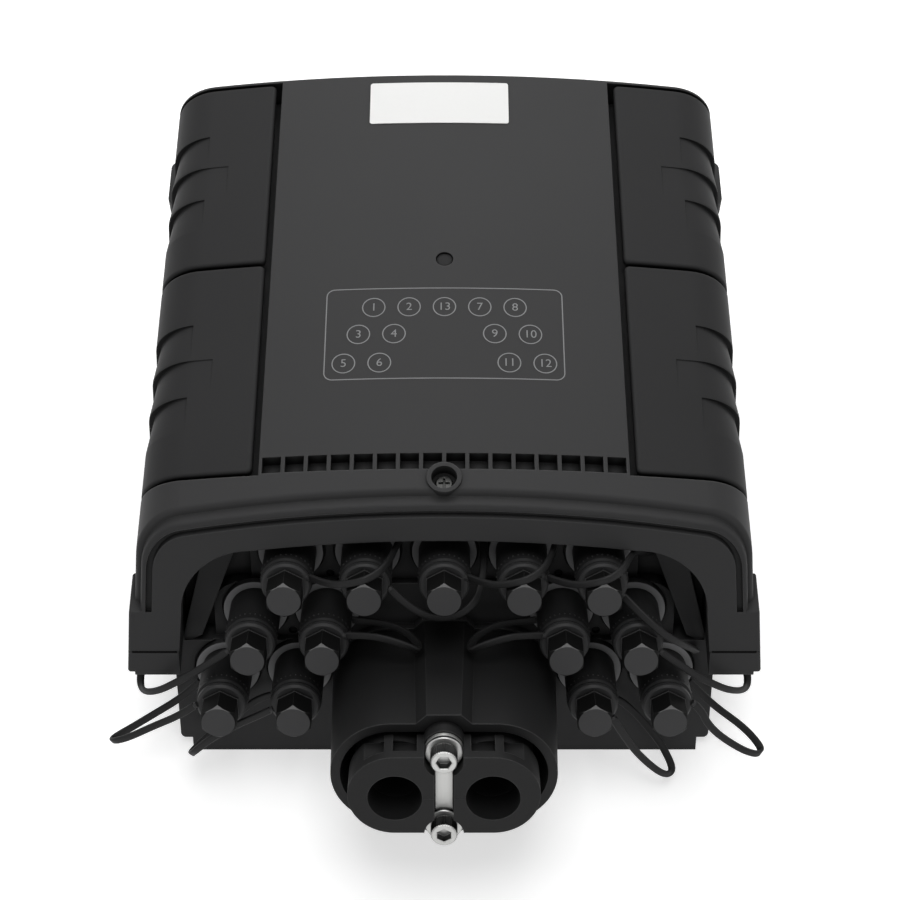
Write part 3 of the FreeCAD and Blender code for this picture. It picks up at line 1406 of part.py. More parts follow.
def tether(port, route):
    # straight runs joined by tangent arcs as large as the runs allow
    points = [front_point(*spot) for spot in route]
    edges = []
    radii = []
    at = points[0]
    for before, corner, after in zip(points, points[1:], points[2:]):
        back = before - corner
        onward = after - corner
        turn = math.pi - back.getAngle(onward)
        trim = bend_share * min(back.Length, onward.Length)
        radii.append(trim / math.tan(turn / 2))
        enter = corner + back.normalize() * trim
        leave = corner + onward.normalize() * trim
        inward = (enter + leave) * 0.5 - corner
        reach = radii[-1] / math.cos(turn / 2) - radii[-1]
        edges.append(Part.LineSegment(at, enter).toShape())
        edges.append(Part.Arc(enter, corner + inward.normalize() * reach, leave).toShape())
        at = leave
    edges.append(Part.LineSegment(at, points[-1]).toShape())
    path = Part.Wire(edges)
    radius = size("tether_diameter") / 2
    section = Part.Wire(Part.makeCircle(radius, points[0], points[1] - points[0]))
    tube = path.makePipeShell([section], True, False)
    cord = doc.addObject("Part::Feature", f"tether_{port:02d}")
    cord.Shape = tube
    expected = math.pi * radius**2 * path.Length
    print(f"tether {port:2d}: length {path.Length:.1f}, radii", " ".join(f"{r:.1f}" for r in radii),
          f", volume ratio {tube.Volume / expected:.4f}")
    return cord


tethers = [tether(port, route) for port, route in sorted(tether_routes.items())]


def rooted_ring(port, ring):
    # ring of a cap with the short stub that its strap starts from
    start, onward = [front_point(*spot) for spot in tether_routes[port][:2]]
    run = (onward - start).normalize()
    stub = doc.addObject("Part::Cylinder", f"strap_root_{port:02d}")
    bind(stub, Radius="tether_diameter / 2", Height="tether_root")
    stub.Placement = FreeCAD.Placement(start - run * size("tether_root"),
                                       FreeCAD.Rotation(Vector(0, 0, 1), run))
    return fuse(f"rooted_ring_{port:02d}", [ring, stub])


tether_rings = group("tether_rings", [rooted_ring(spot[0], ring) for spot, ring in zip(ports(), rings)])


# Check every object, then write one file for each piece

nodes = [base_shell, adapter_nuts, tether_rings, gland_sleeve, gland_plate, gland_strap, gland_screws,
         gland_grommets, gasket, tray_lower, tray_upper, splitter, cover_shell, latch_pins, hinge_pins,
         captive_screw, test_valve]
nodes += adapters + caps + tethers + latches
doc.recompute()
broken = [item.Name for item in doc.Objects if "Invalid" in item.State or "Error" in item.State]
broken += [item.Name for item in nodes if item.Shape.isNull() or not item.Shape.isValid()]
if broken:
    raise RuntimeError("failed: " + ", ".join(broken))
os.makedirs("parts", exist_ok=True)
for item in nodes:
    item.Label = item.Name
    item.Shape.exportStep(f"parts/{item.Label}.step")
print(len(nodes), "pieces written")
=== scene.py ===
import json
import math
import bmesh
import bpy
from mathutils import Matrix, Vector


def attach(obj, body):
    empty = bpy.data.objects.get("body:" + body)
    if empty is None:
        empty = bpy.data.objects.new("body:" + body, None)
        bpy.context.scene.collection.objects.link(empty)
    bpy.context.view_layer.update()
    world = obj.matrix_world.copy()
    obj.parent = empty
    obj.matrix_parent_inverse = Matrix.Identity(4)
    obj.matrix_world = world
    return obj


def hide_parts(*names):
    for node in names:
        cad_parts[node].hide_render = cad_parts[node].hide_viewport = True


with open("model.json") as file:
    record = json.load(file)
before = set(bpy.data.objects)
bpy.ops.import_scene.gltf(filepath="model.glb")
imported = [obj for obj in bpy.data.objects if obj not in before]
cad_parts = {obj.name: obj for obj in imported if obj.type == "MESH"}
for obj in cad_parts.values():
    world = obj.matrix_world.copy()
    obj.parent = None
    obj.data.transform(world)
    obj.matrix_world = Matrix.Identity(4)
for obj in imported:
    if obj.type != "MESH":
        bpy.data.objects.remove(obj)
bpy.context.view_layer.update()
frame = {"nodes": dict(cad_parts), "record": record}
cadNodes = frame["nodes"]
scene = bpy.context.scene
mm = 0.001

# the slanted front: x across, up along the panel, out along the port axes, in millimetres
frontTilt = math.radians(30)
hoodEdge = Vector((0, -100, 114))
frontUp = Vector((0, math.sin(frontTilt), math.cos(frontTilt)))
frontOut = Vector((0, -math.cos(frontTilt), math.sin(frontTilt)))


def frontPoint(x, up, out):
    return (Vector((x, 0, 0)) + hoodEdge + frontUp * up + frontOut * out) * mm


# the arched crown of the cover, in millimetres
crown = {"top": 118.0, "radius": 679.2}


def crownHeight(x):
    return crown["top"] - crown["radius"] + math.sqrt(crown["radius"] ** 2 - x * x)


def addObject(name, data):
    item = bpy.data.objects.new(name, data)
    scene.collection.objects.link(item)
    return item


# camera where the photograph was taken from, in millimetres and degrees
camera = {"lens": 75.26, "sensor": 36, "nearest": 10, "pitch": 58, "place": (2.2, -452.26, 719.9)}
eye = bpy.data.cameras.new("eye")
eye.lens = camera["lens"]
eye.sensor_width = camera["sensor"]
eye.clip_start = camera["nearest"] * mm
eyeObject = addObject("eye", eye)
eyeObject.location = Vector(camera["place"]) * mm
eyeObject.rotation_euler = (math.radians(90 - camera["pitch"]), 0, 0)
scene.camera = eyeObject
scene.view_settings.view_transform = "Standard"
print("camera placed")


# small helpers for node trees
def grey(tone):
    return (tone, tone, tone, 1)


def addNode(tree, kind, at=(0, 0), **settings):
    node = tree.nodes.new(kind)
    node.location = at
    for name, value in settings.items():
        setattr(node, name, value)
    return node


def newGroup(name, inputs, outputs):
    group = bpy.data.node_groups.new(name, "ShaderNodeTree")
    kinds = {"f": "NodeSocketFloat", "c": "NodeSocketColor", "v": "NodeSocketVector"}
    for label, kind, value in inputs:
        socket = group.interface.new_socket(label, in_out="INPUT", socket_type=kinds[kind])
        socket.default_value = value
    for label, kind in outputs:
        group.interface.new_socket(label, in_out="OUTPUT", socket_type=kinds[kind])
    given = addNode(group, "NodeGroupInput", (-900, 0))
    result = addNode(group, "NodeGroupOutput", (900, 0))
    return group, given, result


def useGroup(tree, group, at, **values):
    node = addNode(tree, "ShaderNodeGroup", at, node_tree=group)
    for name, value in values.items():
        node.inputs[name.replace("_", " ")].default_value = value
    return node


def mathNode(tree, operation, first, second, at=(0, 0)):
    node = addNode(tree, "ShaderNodeMath", at, operation=operation)
    for index, value in enumerate((first, second)):
        if isinstance(value, (int, float)):
            node.inputs[index].default_value = value
        else:
            tree.links.new(value, node.inputs[index])
    return node.outputs[0]


def mixColour(tree, blend, factor, first, second, at=(0, 0)):
    node = addNode(tree, "ShaderNodeMix", at, data_type="RGBA", blend_type=blend)
    for name, value in (("Factor", factor), ("A", first), ("B", second)):
        if isinstance(value, (int, float, tuple)):
            node.inputs[name].default_value = value
        else:
            tree.links.new(value, node.inputs[name])
    return node.outputs["Result"]


def addBump(tree, height, strength, distance, normal=None):
    bump = addNode(tree, "ShaderNodeBump", (-250, -250))
    bump.inputs["Strength"].default_value = strength
    bump.inputs["Distance"].default_value = distance
    tree.links.new(height, bump.inputs["Height"])
    if normal is not None:
        tree.links.new(normal, bump.inputs["Normal"])
    return bump.outputs[0]


def newMaterial(name):
    material = bpy.data.materials.new(name)
    material.use_nodes = True
    tree = material.node_tree
    return material, tree, tree.nodes["Principled BSDF"]


def feedShader(tree, shader, colour, roughness, normal):
    tree.links.new(colour, shader.inputs["Base Color"])
    tree.links.new(roughness, shader.inputs["Roughness"])
    tree.links.new(normal, shader.inputs["Normal"])


# moulded grain: fine spark-eroded texture with slow drifts of tone and gloss
mouldNoise = {"fineDetail": 3, "slowScale": 22, "slowDetail": 4, "middle": 0.5}


def buildMouldGrain():
    group, given, result = newGroup(
        "mouldGrain",
        [("Tone", "c", grey(0.05)), ("Drift", "f", 0.1), ("Grain", "f", 2500.0),
         ("Gloss", "f", 0.5), ("Gloss drift", "f", 0.08)],
        [("Color", "c"), ("Roughness", "f"), ("Height", "f")])
    links = group.links
    middle = mouldNoise["middle"]
    where = addNode(group, "ShaderNodeTexCoord", (-900, 300))
    fine = addNode(group, "ShaderNodeTexNoise", (-600, 300))
    fine.inputs["Detail"].default_value = mouldNoise["fineDetail"]
    slow = addNode(group, "ShaderNodeTexNoise", (-600, 0))
    slow.inputs["Scale"].default_value = mouldNoise["slowScale"]
    slow.inputs["Detail"].default_value = mouldNoise["slowDetail"]
    links.new(where.outputs["Object"], fine.inputs["Vector"])
    links.new(where.outputs["Object"], slow.inputs["Vector"])
    links.new(given.outputs["Grain"], fine.inputs["Scale"])
    slowTone = mathNode(group, "SUBTRACT", slow.outputs["Fac"], middle, (-350, 0))
    fineTone = mathNode(group, "SUBTRACT", fine.outputs["Fac"], middle, (-350, 300))
    both = mathNode(group, "ADD", slowTone, fineTone, (-150, 150))
    swing = mathNode(group, "MULTIPLY", both, given.outputs["Drift"], (0, 150))
    gain = mathNode(group, "ADD", swing, 1.0, (150, 150))
    toned = addNode(group, "ShaderNodeVectorMath", (350, 150), operation="SCALE")
    links.new(given.outputs["Tone"], toned.inputs[0])
    links.new(gain, toned.inputs["Scale"])
    links.new(toned.outputs[0], result.inputs["Color"])
    glossSwing = mathNode(group, "MULTIPLY", slowTone, given.outputs["Gloss drift"], (0, -150))
    roughness = mathNode(group, "ADD", glossSwing, given.outputs["Gloss"], (200, -150))
    links.new(roughness, result.inputs["Roughness"])
    links.new(fine.outputs["Fac"], result.inputs["Height"])
    return group


# painted edge highlight: a mask where the surface turns sharply, to paint sharp edges paler as if
# they caught the light, and the normal of the softened edge
edgeMask = {"samples": 6, "gain": 3.0}


def buildRubbedEdge():
    group, given, result = newGroup("paintedEdgeHighlight", [("Width", "f", 0.0006)],
                                    [("Mask", "f"), ("Normal", "v")])
    soft = addNode(group, "ShaderNodeBevel", (-500, 0), samples=edgeMask["samples"])
    plain = addNode(group, "ShaderNodeNewGeometry", (-500, -250))
    group.links.new(given.outputs["Width"], soft.inputs["Radius"])
    dot = addNode(group, "ShaderNodeVectorMath", (-250, 0), operation="DOT_PRODUCT")
    group.links.new(soft.outputs[0], dot.inputs[0])
    group.links.new(plain.outputs["Normal"], dot.inputs[1])
    turn = mathNode(group, "SUBTRACT", 1.0, dot.outputs["Value"], (0, 0))
    mask = mathNode(group, "MULTIPLY", turn, edgeMask["gain"], (200, 0))
    group.links.new(mask, result.inputs["Mask"])
    group.links.new(soft.outputs[0], result.inputs["Normal"])
    return group


# deep shade: the darkening in gaps, slots and corners where little light comes in
shadeSamples = 6


def buildDeepShade():
    group, given, result = newGroup("deepShade", [("Reach", "f", 0.0035), ("Power", "f", 1.4)],
                                    [("Shade", "f")])
    near = addNode(group, "ShaderNodeAmbientOcclusion", (-400, 0), samples=shadeSamples)
    group.links.new(given.outputs["Reach"], near.inputs["Distance"])
    shade = mathNode(group, "POWER", near.outputs["AO"], given.outputs["Power"], (0, 0))
    group.links.new(shade, result.inputs["Shade"])
    return group


# a mask of what faces in one direction, in the piece's own coordinates
def buildFacing(name, direction):
    group, given, result = newGroup(name, [("From", "f", 0.2), ("To", "f", 0.45)], [("Mask", "f")])
    where = addNode(group, "ShaderNodeTexCoord", (-600, 0))
    turn = addNode(group, "ShaderNodeVectorMath", (-350, 0), operation="DOT_PRODUCT")
    turn.inputs[1].default_value = direction
    group.links.new(where.outputs["Normal"], turn.inputs[0])
    ramp = addNode(group, "ShaderNodeMapRange", (0, 0), interpolation_type="SMOOTHSTEP")
    group.links.new(turn.outputs["Value"], ramp.inputs["Value"])
    group.links.new(given.outputs["From"], ramp.inputs["From Min"])
    group.links.new(given.outputs["To"], ramp.inputs["From Max"])
    group.links.new(ramp.outputs["Result"], result.inputs["Mask"])
    return group


mouldGrain = buildMouldGrain()
paintedEdgeHighlight = buildRubbedEdge()
deepShade = buildDeepShade()
facingFront = buildFacing("facingFront", frontOut)
facingUp = buildFacing("facingUp", frontUp)

# plastics: tone, gloss, grain size and depth, edge width, how much paler the painted highlight on
# sharp edges is, shine, how dark the painted shade in deep corners is, and, where light is painted
# by facing, the tones of the painted highlight on the upper bevelled corners and of the painted
# shade on the sides
plastics = {
    "casePlastic": dict(tone=0.032, gloss=0.55, grain=2600, depth=0.05, edge=0.0007, edgeHighlight=0.05,
                        shine=0.12, deep=1.9),
    "latchPlastic": dict(tone=0.029, gloss=0.5, grain=2600, depth=0.05, edge=0.0009, edgeHighlight=0.03,
                         shine=0.04, deep=1.9),
    "portPlastic": dict(tone=0.018, gloss=0.5, grain=3400, depth=0.03, edge=0.0004, edgeHighlight=0.02,
                        shine=0.1, deep=1.0),
    "capPlastic": dict(tone=0.056, gloss=0.6, grain=3000, depth=0.04, edge=0.0003, edgeHighlight=0.05,
                       shine=0.1, deep=0.5, corner=0.14, side=0.003),
    "glandPlastic": dict(tone=0.011, gloss=0.5, grain=3000, depth=0.03, edge=0.0006, edgeHighlight=0.06,
                         shine=0.15, deep=1.4),
    "sealRubber": dict(tone=0.02, gloss=0.7, grain=2200, depth=0.05, edge=0.0004, edgeHighlight=0.02,
                       shine=0.15, deep=1.4),
    "strapRubber": dict(tone=0.013, gloss=0.5, grain=2800, depth=0.04, edge=0.0003, edgeHighlight=0.03,
                        shine=0.15, deep=0.7),
    "ringRubber": dict(tone=0.032, gloss=0.5, grain=2800, depth=0.04, edge=0.0003, edgeHighlight=0.03,
                       shine=0.15, deep=0.7),
    "trayPlastic": dict(tone=0.62, gloss=0.4, grain=2600, depth=0.03, edge=0.0004, edgeHighlight=0.05,
                        shine=0.45, deep=0.7),
    "splitterPlastic": dict(tone=0.2, gloss=0.45, grain=2600, depth=0.04, edge=0.0004, edgeHighlight=0.05,
                            shine=0.45, deep=0.7),
    # painted highlight for the rims round the port barrels
    "paintedRimLight": dict(tone=0.24, gloss=0.55, grain=3000, depth=0.04, edge=0.0003, edgeHighlight=0.03,
                       shine=0.15, deep=0.5),
    "dotPlastic": dict(tone=0.04, gloss=0.4, grain=3400, depth=0.02, edge=0.0001, edgeHighlight=0.0,
                       shine=0.3, deep=0.5),
    # painted shadow for the gap between the case halves
    "paintedGapShadow": dict(tone=0.003, gloss=0.7, grain=2200, depth=0.03, edge=0.0001, edgeHighlight=0.0,
                      shine=0.05, deep=1.0),
    "printGrey": dict(tone=0.22, gloss=0.6, grain=5000, depth=0.02, edge=0.0001, edgeHighlight=0.0,
                      shine=0.2, deep=0.0),
}
mould = {"blue": 1.02, "drift": 0.16, "glossDrift": 0.14, "bump": 6}
# how far a surface has to face up or to the front, for the painted highlight on the bevels, the end
# face and the painted shade on the rest
turned = {
    "bevel": dict(From=0.45, To=0.6),
    "face": dict(From=0.8, To=0.92),
    "front": dict(From=0.2, To=0.45),
}


# painted light by facing: upward bevels painted paler as a highlight, sides painted dark as shade
def paleFront(tree, colour, corner, side):
    bevel = useGroup(tree, facingUp, (-1100, 700), **turned["bevel"]).outputs["Mask"]
    face = useGroup(tree, facingFront, (-900, 500), **turned["face"]).outputs["Mask"]
    front = useGroup(tree, facingFront, (-900, 300), **turned["front"]).outputs["Mask"]
    paintedBevelTone = mixColour(tree, "MIX", bevel, grey(side), grey(corner), (-800, 700))
    colour = mixColour(tree, "MIX", face, paintedBevelTone, colour, (-600, 500))
    return mixColour(tree, "MIX", front, grey(side), colour, (-450, 300))


def mouldedPlastic(name, tone, gloss, grain, depth, edge, edgeHighlight, shine, deep, corner=None, side=None):
    material, tree, shader = newMaterial(name)
    surface = useGroup(tree, mouldGrain, (-700, 100), Tone=(tone, tone, tone * mould["blue"], 1),
                       Drift=mould["drift"], Grain=grain, Gloss=gloss,
                       Gloss_drift=mould["glossDrift"])
    colour = surface.outputs["Color"]
    # painted highlight and painted shade by facing, used for the caps
    if side is not None:
        colour = paleFront(tree, colour, corner, side)
    edges = useGroup(tree, paintedEdgeHighlight, (-700, -250), Width=edge)
    # painted highlight: sharp edges made paler as if they caught the light
    paintedEdgeGlint = mathNode(tree, "MULTIPLY", edges.outputs["Mask"], edgeHighlight, (-450, -150))
    pale = mixColour(tree, "ADD", paintedEdgeGlint, colour, grey(1), (-250, 150))
    shade = useGroup(tree, deepShade, (-450, 0), Power=deep)
    shaded = mixColour(tree, "MULTIPLY", 1.0, pale, shade.outputs["Shade"], (-100, 150))
    bump = addBump(tree, surface.outputs["Height"], depth * mould["bump"], depth * mm,
                   edges.outputs["Normal"])
    feedShader(tree, shader, shaded, surface.outputs["Roughness"], bump)
    shader.inputs["Specular IOR Level"].default_value = shine
    return material


finishes = {name: mouldedPlastic(name, **values) for name, values in plastics.items()}

# steel fittings: turned and brushed; the knurled sides of the gland's screw heads get a painted
# dark reflection
steels = {
    "stainless": dict(tone=0.5, brush=900, along=40, rough=0.42),
    "screwSteel": dict(tone=0.42, brush=1400, along=1400, rough=0.36, side=0.05),
    "darkScrew": dict(tone=0.055, brush=1400, along=1400, rough=0.34),
}
brushing = {"blue": 0.98, "detail": 4, "streak": 0.25, "spread": 0.2, "edge": 0.0003, "bump": 0.08,
            "bumpDepth": 0.00005}


def brushedSteel(name, tone, brush, along, rough, side=None):
    material, tree, shader = newMaterial(name)
    where = addNode(tree, "ShaderNodeTexCoord", (-1000, 0))
    stretch = addNode(tree, "ShaderNodeMapping", (-800, 0))
    stretch.inputs["Scale"].default_value = (brush, along, along)
    noise = addNode(tree, "ShaderNodeTexNoise", (-600, 0))
    noise.inputs["Scale"].default_value = 1
    noise.inputs["Detail"].default_value = brushing["detail"]
    tree.links.new(where.outputs["Object"], stretch.inputs["Vector"])
    tree.links.new(stretch.outputs[0], noise.inputs["Vector"])
    streak = noise.outputs["Fac"]
    bare = (tone, tone, tone * brushing["blue"], 1)
    colour = mixColour(tree, "MULTIPLY", brushing["streak"], bare, streak, (-300, 100))
    # painted reflection: what does not face along the port axes is painted dark
    if side is not None:
        front = useGroup(tree, facingFront, (-600, 300))
        colour = mixColour(tree, "MIX", front.outputs["Mask"], grey(side), colour, (-100, 200))
    spread = mathNode(tree, "MULTIPLY", streak, brushing["spread"], (-300, -100))
    roughness = mathNode(tree, "ADD", spread, rough - brushing["spread"] / 2, (-100, -100))
    edges = useGroup(tree, paintedEdgeHighlight, (-600, -300), Width=brushing["edge"])
    bump = addBump(tree, streak, brushing["bump"], brushing["bumpDepth"], edges.outputs["Normal"])
    feedShader(tree, shader, colour, roughness, bump)
    shader.inputs["Metallic"].default_value = 1
    return material


finishes.update({name: brushedSteel(name, **values) for name, values in steels.items()})

slotFinish = {
    "case": "casePlastic",
    "latch": "latchPlastic",
    "port": "portPlastic",
    "cap": "capPlastic",
    "tether": "strapRubber",
    "gland": "glandPlastic",
    "seal": "sealRubber",
    "steel": "stainless",
    "valve": "latchPlastic",
    "tray": "trayPlastic",
    "splitter": "splitterPlastic",
}
nodeFinish = {"tether_rings": "ringRubber"}
nodeSlots = {part["node"]: part["material_slot"] for part in frame["record"]["subparts"]}
for name, item in cadNodes.items():
    item.data.materials.clear()
    item.data.materials.append(finishes[nodeFinish.get(name, slotFinish[nodeSlots[name]])])
print("finishes on", len(cadNodes), "solids")

# cap straps: flat, limp, from the ring on each cap back to the box; the solids are round tubes
strap = {"width": 3.1, "thickness": 1.5, "tube": 2.4, "flatUntil": 0.45, "order": 3, "steps": 8,
         "roundSteps": 3}


def shifted(route, across):
    return [(x + across, up, out) for x, up, out in route]


def mirrored(route):
    return [(-x, up, out) for x, up, out in route]


# routes in front coordinates; three cross the next cap of the first row, two lie by the gland
overNextCap = [(9.2, -27.8, 2.6), (16, -28, 7.5), (23.5, -25.2, 12), (31, -22.4, 13.4),
               (36.8, -20.8, 9), (40, -19.8, 1.5), (42.2, -20, -9), (45, -21, -23.8)]
besideGland = [(-37.4, -51.5, 6.5), (-29, -50.3, 8), (-20.5, -51.8, 9.3), (-13, -54.6, 9.8),
               (-9.6, -57.8, 8), (-10.2, -57.8, 2.5), (-14.5, -56.8, -4), (-24, -55.7, -9.5),
               (-36, -55.5, -10.5)]
strapRoutes = {
    1: shifted(overNextCap, -60),
    2: [(-20.1, -33.4, 2.6), (-14, -39.5, 4.5), (-5, -44.2, 5.5), (5, -44.4, 4.5), (12.6, -40, 0),
        (15, -33, -8), (15.3, -27.5, -15.5), (15, -24, -23.2)],
    13: overNextCap,
    7: shifted(overNextCap[:5], 30) + [
        (70, -19.8, 1), (73, -22.5, -8), (78, -28.5, -16.5), (81.2, -35, -26.9)],
    8: [(68.5, -36.5, 2.6), (74.5, -41, 7.5), (80.8, -46, 10.8), (87, -51.2, 10), (93, -57, 5.5),
        (97.5, -63.5, -1.5), (99.2, -69, -8), (99, -72, -15.1)],
    3: [(-83.8, -59, 6.6), (-93.3, -65.4, 8.5), (-103.2, -71.9, 8), (-111.3, -78.3, 5),
        (-118.3, -82.8, -0.5), (-120.6, -82, -6.5), (-119.6, -76, -10), (-118.8, -69.3, -10)],
    10: [(83.8, -59, 6.6), (93, -66, 8.5), (103, -72.4, 8), (110.5, -77.9, 5), (117.2, -81.8, 0),
         (120.2, -82.2, -5.5), (119.3, -76, -10), (118.5, -69.3, -10)],
    4: besideGland,
    9: mirrored(besideGland),
    5: [(-96.8, -81.4, 10.5), (-103.1, -86.4, 10), (-113.8, -92.5, 8.5), (-123.8, -98.9, 7),
        (-129.6, -102.1, 5.2), (-131.9, -103.6, 3.2), (-131.6, -103.9, 0.8), (-128.2, -102.6, -0.9),
        (-124.1, -100.6, -2), (-117, -97.1, -4.5), (-106.6, -92, -8), (-100.5, -87, -9),
        (-97.1, -83.4, -9)],
    12: [(96.9, -80.6, 10.6), (99.7, -83.4, 10.8), (102.5, -89.8, 10.4), (107.8, -96.7, 9),
         (116.9, -104.7, 7), (122.6, -108.5, 5.2), (125.6, -109.8, 3.2), (126.4, -109.3, 0.6),
         (124.5, -107.1, -1.5), (121, -103.6, -3.2), (116.4, -100.1, -5), (108.7, -95.2, -7.5),
         (101.5, -88.5, -9), (97.1, -83.6, -9)],
    6: [(-67.4, -83.3, 10.6), (-74, -87.6, 9.5), (-81.4, -92.3, 8), (-92.6, -100.9, 5.8),
        (-98.2, -107, 4.4), (-100.9, -110.8, 2.2), (-101.2, -112.2, -0.7), (-98.9, -110.8, -3.4),
        (-93.4, -105.8, -5), (-80.5, -95.6, -7), (-72.4, -90.5, -9), (-66, -89.5, -9)],
    11: [(65.6, -87.2, 10.6), (68.2, -92.6, 10), (75.3, -105.3, 7.5), (81.5, -113.8, 5),
         (86.6, -119.3, 3.4), (90, -121.6, 1.6), (91.8, -121, -0.9), (91, -118.6, -3),
         (88.9, -114.7, -4.7), (86.2, -110.2, -6), (77.5, -99.6, -8.5), (69.5, -92, -9.5),
         (64.6, -90.1, -9)],
}


def strapTurns(spots):
    # how far the strap turns at each point, so that its broad side faces along the port axes
    turns = []
    wide = frontUp.copy()
    last = len(spots) - 1
    for index in range(len(spots)):
        ahead = (spots[min(index + 1, last)] - spots[max(index - 1, 0)]).normalized()
        level = (Vector((0, 0, 1)) - ahead * ahead.z).normalized()
        across = ahead.cross(frontOut)
        flat = across.length > strap["flatUntil"]
        wide = across.normalized() if flat else wide - ahead * wide.dot(ahead)
        turn = math.atan2(wide.dot(ahead.cross(level)), wide.dot(level))
        if turns:
            turn -= math.pi * round((turn - turns[-1]) / math.pi)
        turns.append(turn)
    return turns


def makeStrap(port, route):
    curve = bpy.data.curves.new(f"strap_{port:02d}", "CURVE")
    curve.dimensions = "3D"
    curve.twist_mode = "Z_UP"
    curve.extrude = (strap["width"] - strap["thickness"]) / 2 * mm
    curve.bevel_depth = strap["thickness"] / 2 * mm
    curve.bevel_resolution = strap["roundSteps"]
    curve.resolution_u = strap["steps"]
    curve.use_fill_caps = True
    line = curve.splines.new("NURBS")
    line.points.add(len(route) - 1)
    spots = [frontPoint(*spot) for spot in route]
    for point, spot, turn in zip(line.points, spots, strapTurns(spots)):
        point.co = (*spot, 1)
        point.tilt = turn
    line.order_u = strap["order"]
    line.use_endpoint_u = True
    piece = addObject(f"strap_{port:02d}", curve)
    curve.materials.append(finishes["strapRubber"])
    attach(piece, "base")
    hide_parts(f"tether_{port:02d}")


for port, route in strapRoutes.items():
    makeStrap(port, route)
print("straps laid:", len(strapRoutes))


# helpers for pieces made of faces
def finishPiece(name, shape, finish, body):
    mesh = bpy.data.meshes.new(name)
    shape.to_mesh(mesh)
    shape.free()
    mesh.materials.append(finishes[finish])
    piece = addObject(name, mesh)
    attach(piece, body)
    return piece


def smoothPiece(piece, angle):
    piece.data.shade_smooth()
    piece.data.set_sharp_from_angle(angle=math.radians(angle))


# thin pieces on the crown of the cover: laid out flat in millimetres, cut in strips across x so
# that they bend, and raised to its curve
def cutStrips(shape, low, high, strips):
    for step in range(1, strips):
        everything = shape.verts[:] + shape.edges[:] + shape.faces[:]
        place = (low + (high - low) * step / strips, 0, 0)
        bmesh.ops.bisect_plane(shape, geom=everything, plane_co=place, plane_no=(1, 0, 0))


def raiseToCrown(shape, lift):
    for vert in shape.verts:
        x, y, z = vert.co
        vert.co = Vector((x, y, crownHeight(x) + lift + z)) * mm


def roundedOutline(left, right, front, back, corner, steps=8):
    centres = ((right - corner, back - corner), (left + corner, back - corner),
               (left + corner, front + corner), (right - corner, front + corner))
    points = []
    for quarter, (x, y) in enumerate(centres):
        for step in range(steps + 1):
            angle = math.radians(90 * (quarter + step / steps))
            points.append((x + corner * math.cos(angle), y + corner * math.sin(angle)))
    return points


# bare name plate: white film with a soft sheen, no print
label = {"left": -31.8, "right": 27.1, "front": 87.0, "back": 109.8, "corner": 1.2,
         "thickness": 0.3, "strips": 12}
film = {"tone": (0.7, 0.7, 0.69, 1), "drift": 0.03, "grain": 900.0, "gloss": 0.38,
        "glossDrift": 0.2, "bump": 0.05, "bumpDepth": 0.00005}


def filmWhite():
    material, tree, shader = newMaterial("filmWhite")
    surface = useGroup(tree, mouldGrain, (-700, 100), Tone=film["tone"], Drift=film["drift"],
                       Grain=film["grain"], Gloss=film["gloss"], Gloss_drift=film["glossDrift"])
    bump = addBump(tree, surface.outputs["Height"], film["bump"], film["bumpDepth"])
    feedShader(tree, shader, surface.outputs["Color"], surface.outputs["Roughness"], bump)
    return material


def buildPlate():
    shape = bmesh.new()
    outline = roundedOutline(label["left"], label["right"], label["front"], label["back"],
                             label["corner"])
    shape.faces.new([shape.verts.new((x, y, 0)) for x, y in outline])
    cutStrips(shape, label["left"], label["right"], label["strips"])
    raised = bmesh.ops.extrude_face_region(shape, geom=shape.faces[:])["geom"]
    for item in raised:
        if isinstance(item, bmesh.types.BMVert):
            item.co.z = label["thickness"]
    raiseToCrown(shape, 0)
    bmesh.ops.recalc_face_normals(shape, faces=shape.faces)
    finishPiece("namePlate", shape, "filmWhite", "cover")


finishes["filmWhite"] = filmWhite()
buildPlate()

# printed port map: a round-cornered frame, a ring for each port and its number
legend = {"half": 47.0, "front": -43.6, "back": 0.2, "corner": 3.5, "line": 0.45, "ring": 4.65,
          "figure": 5.2, "rise": 0.06, "strips": 24}
legendPlaces = {
    1: (-28, -9.2), 2: (-14, -9.2), 13: (0, -9.2), 7: (14, -9.2), 8: (28, -9.2),
    3: (-33.8, -22.1), 4: (-19.8, -22.1), 9: (19.8, -22.1), 10: (33.8, -22.1),
    5: (-39.3, -35.8), 6: (-25.3, -35.8), 11: (25.3, -35.8), 12: (39.3, -35.8),
}


def lineStrip(shape, outer, inner):
    # flat band between two closed outlines with as many points
    outside = [shape.verts.new((x, y, 0)) for x, y in outer]
    inside = [shape.verts.new((x, y, 0)) for x, y in inner]
    for index in range(len(outer)):
        after = (index + 1) % len(outer)
        shape.faces.new((outside[index], outside[after], inside[after], inside[index]))


def circleOutline(x, y, radius, steps=48):
    turns = [2 * math.pi * step / steps for step in range(steps)]
    return [(x + radius * math.cos(turn), y + radius * math.sin(turn)) for turn in turns]


def addFigure(shape, figure, x, y):
    curve = bpy.data.curves.new("figure", "FONT")
    curve.body = str(figure)
    curve.size = legend["figure"]
    curve.align_x = "CENTER"
    curve.align_y = "CENTER"
    carrier = addObject("figure", curve)
    drawn = carrier.evaluated_get(bpy.context.evaluated_depsgraph_get())
    flat = bpy.data.meshes.new_from_object(drawn)
    flat.transform(Matrix.Translation((x, y, 0)))
    shape.from_mesh(flat)
    bpy.data.objects.remove(carrier)
    bpy.data.curves.remove(curve)
    bpy.data.meshes.remove(flat)


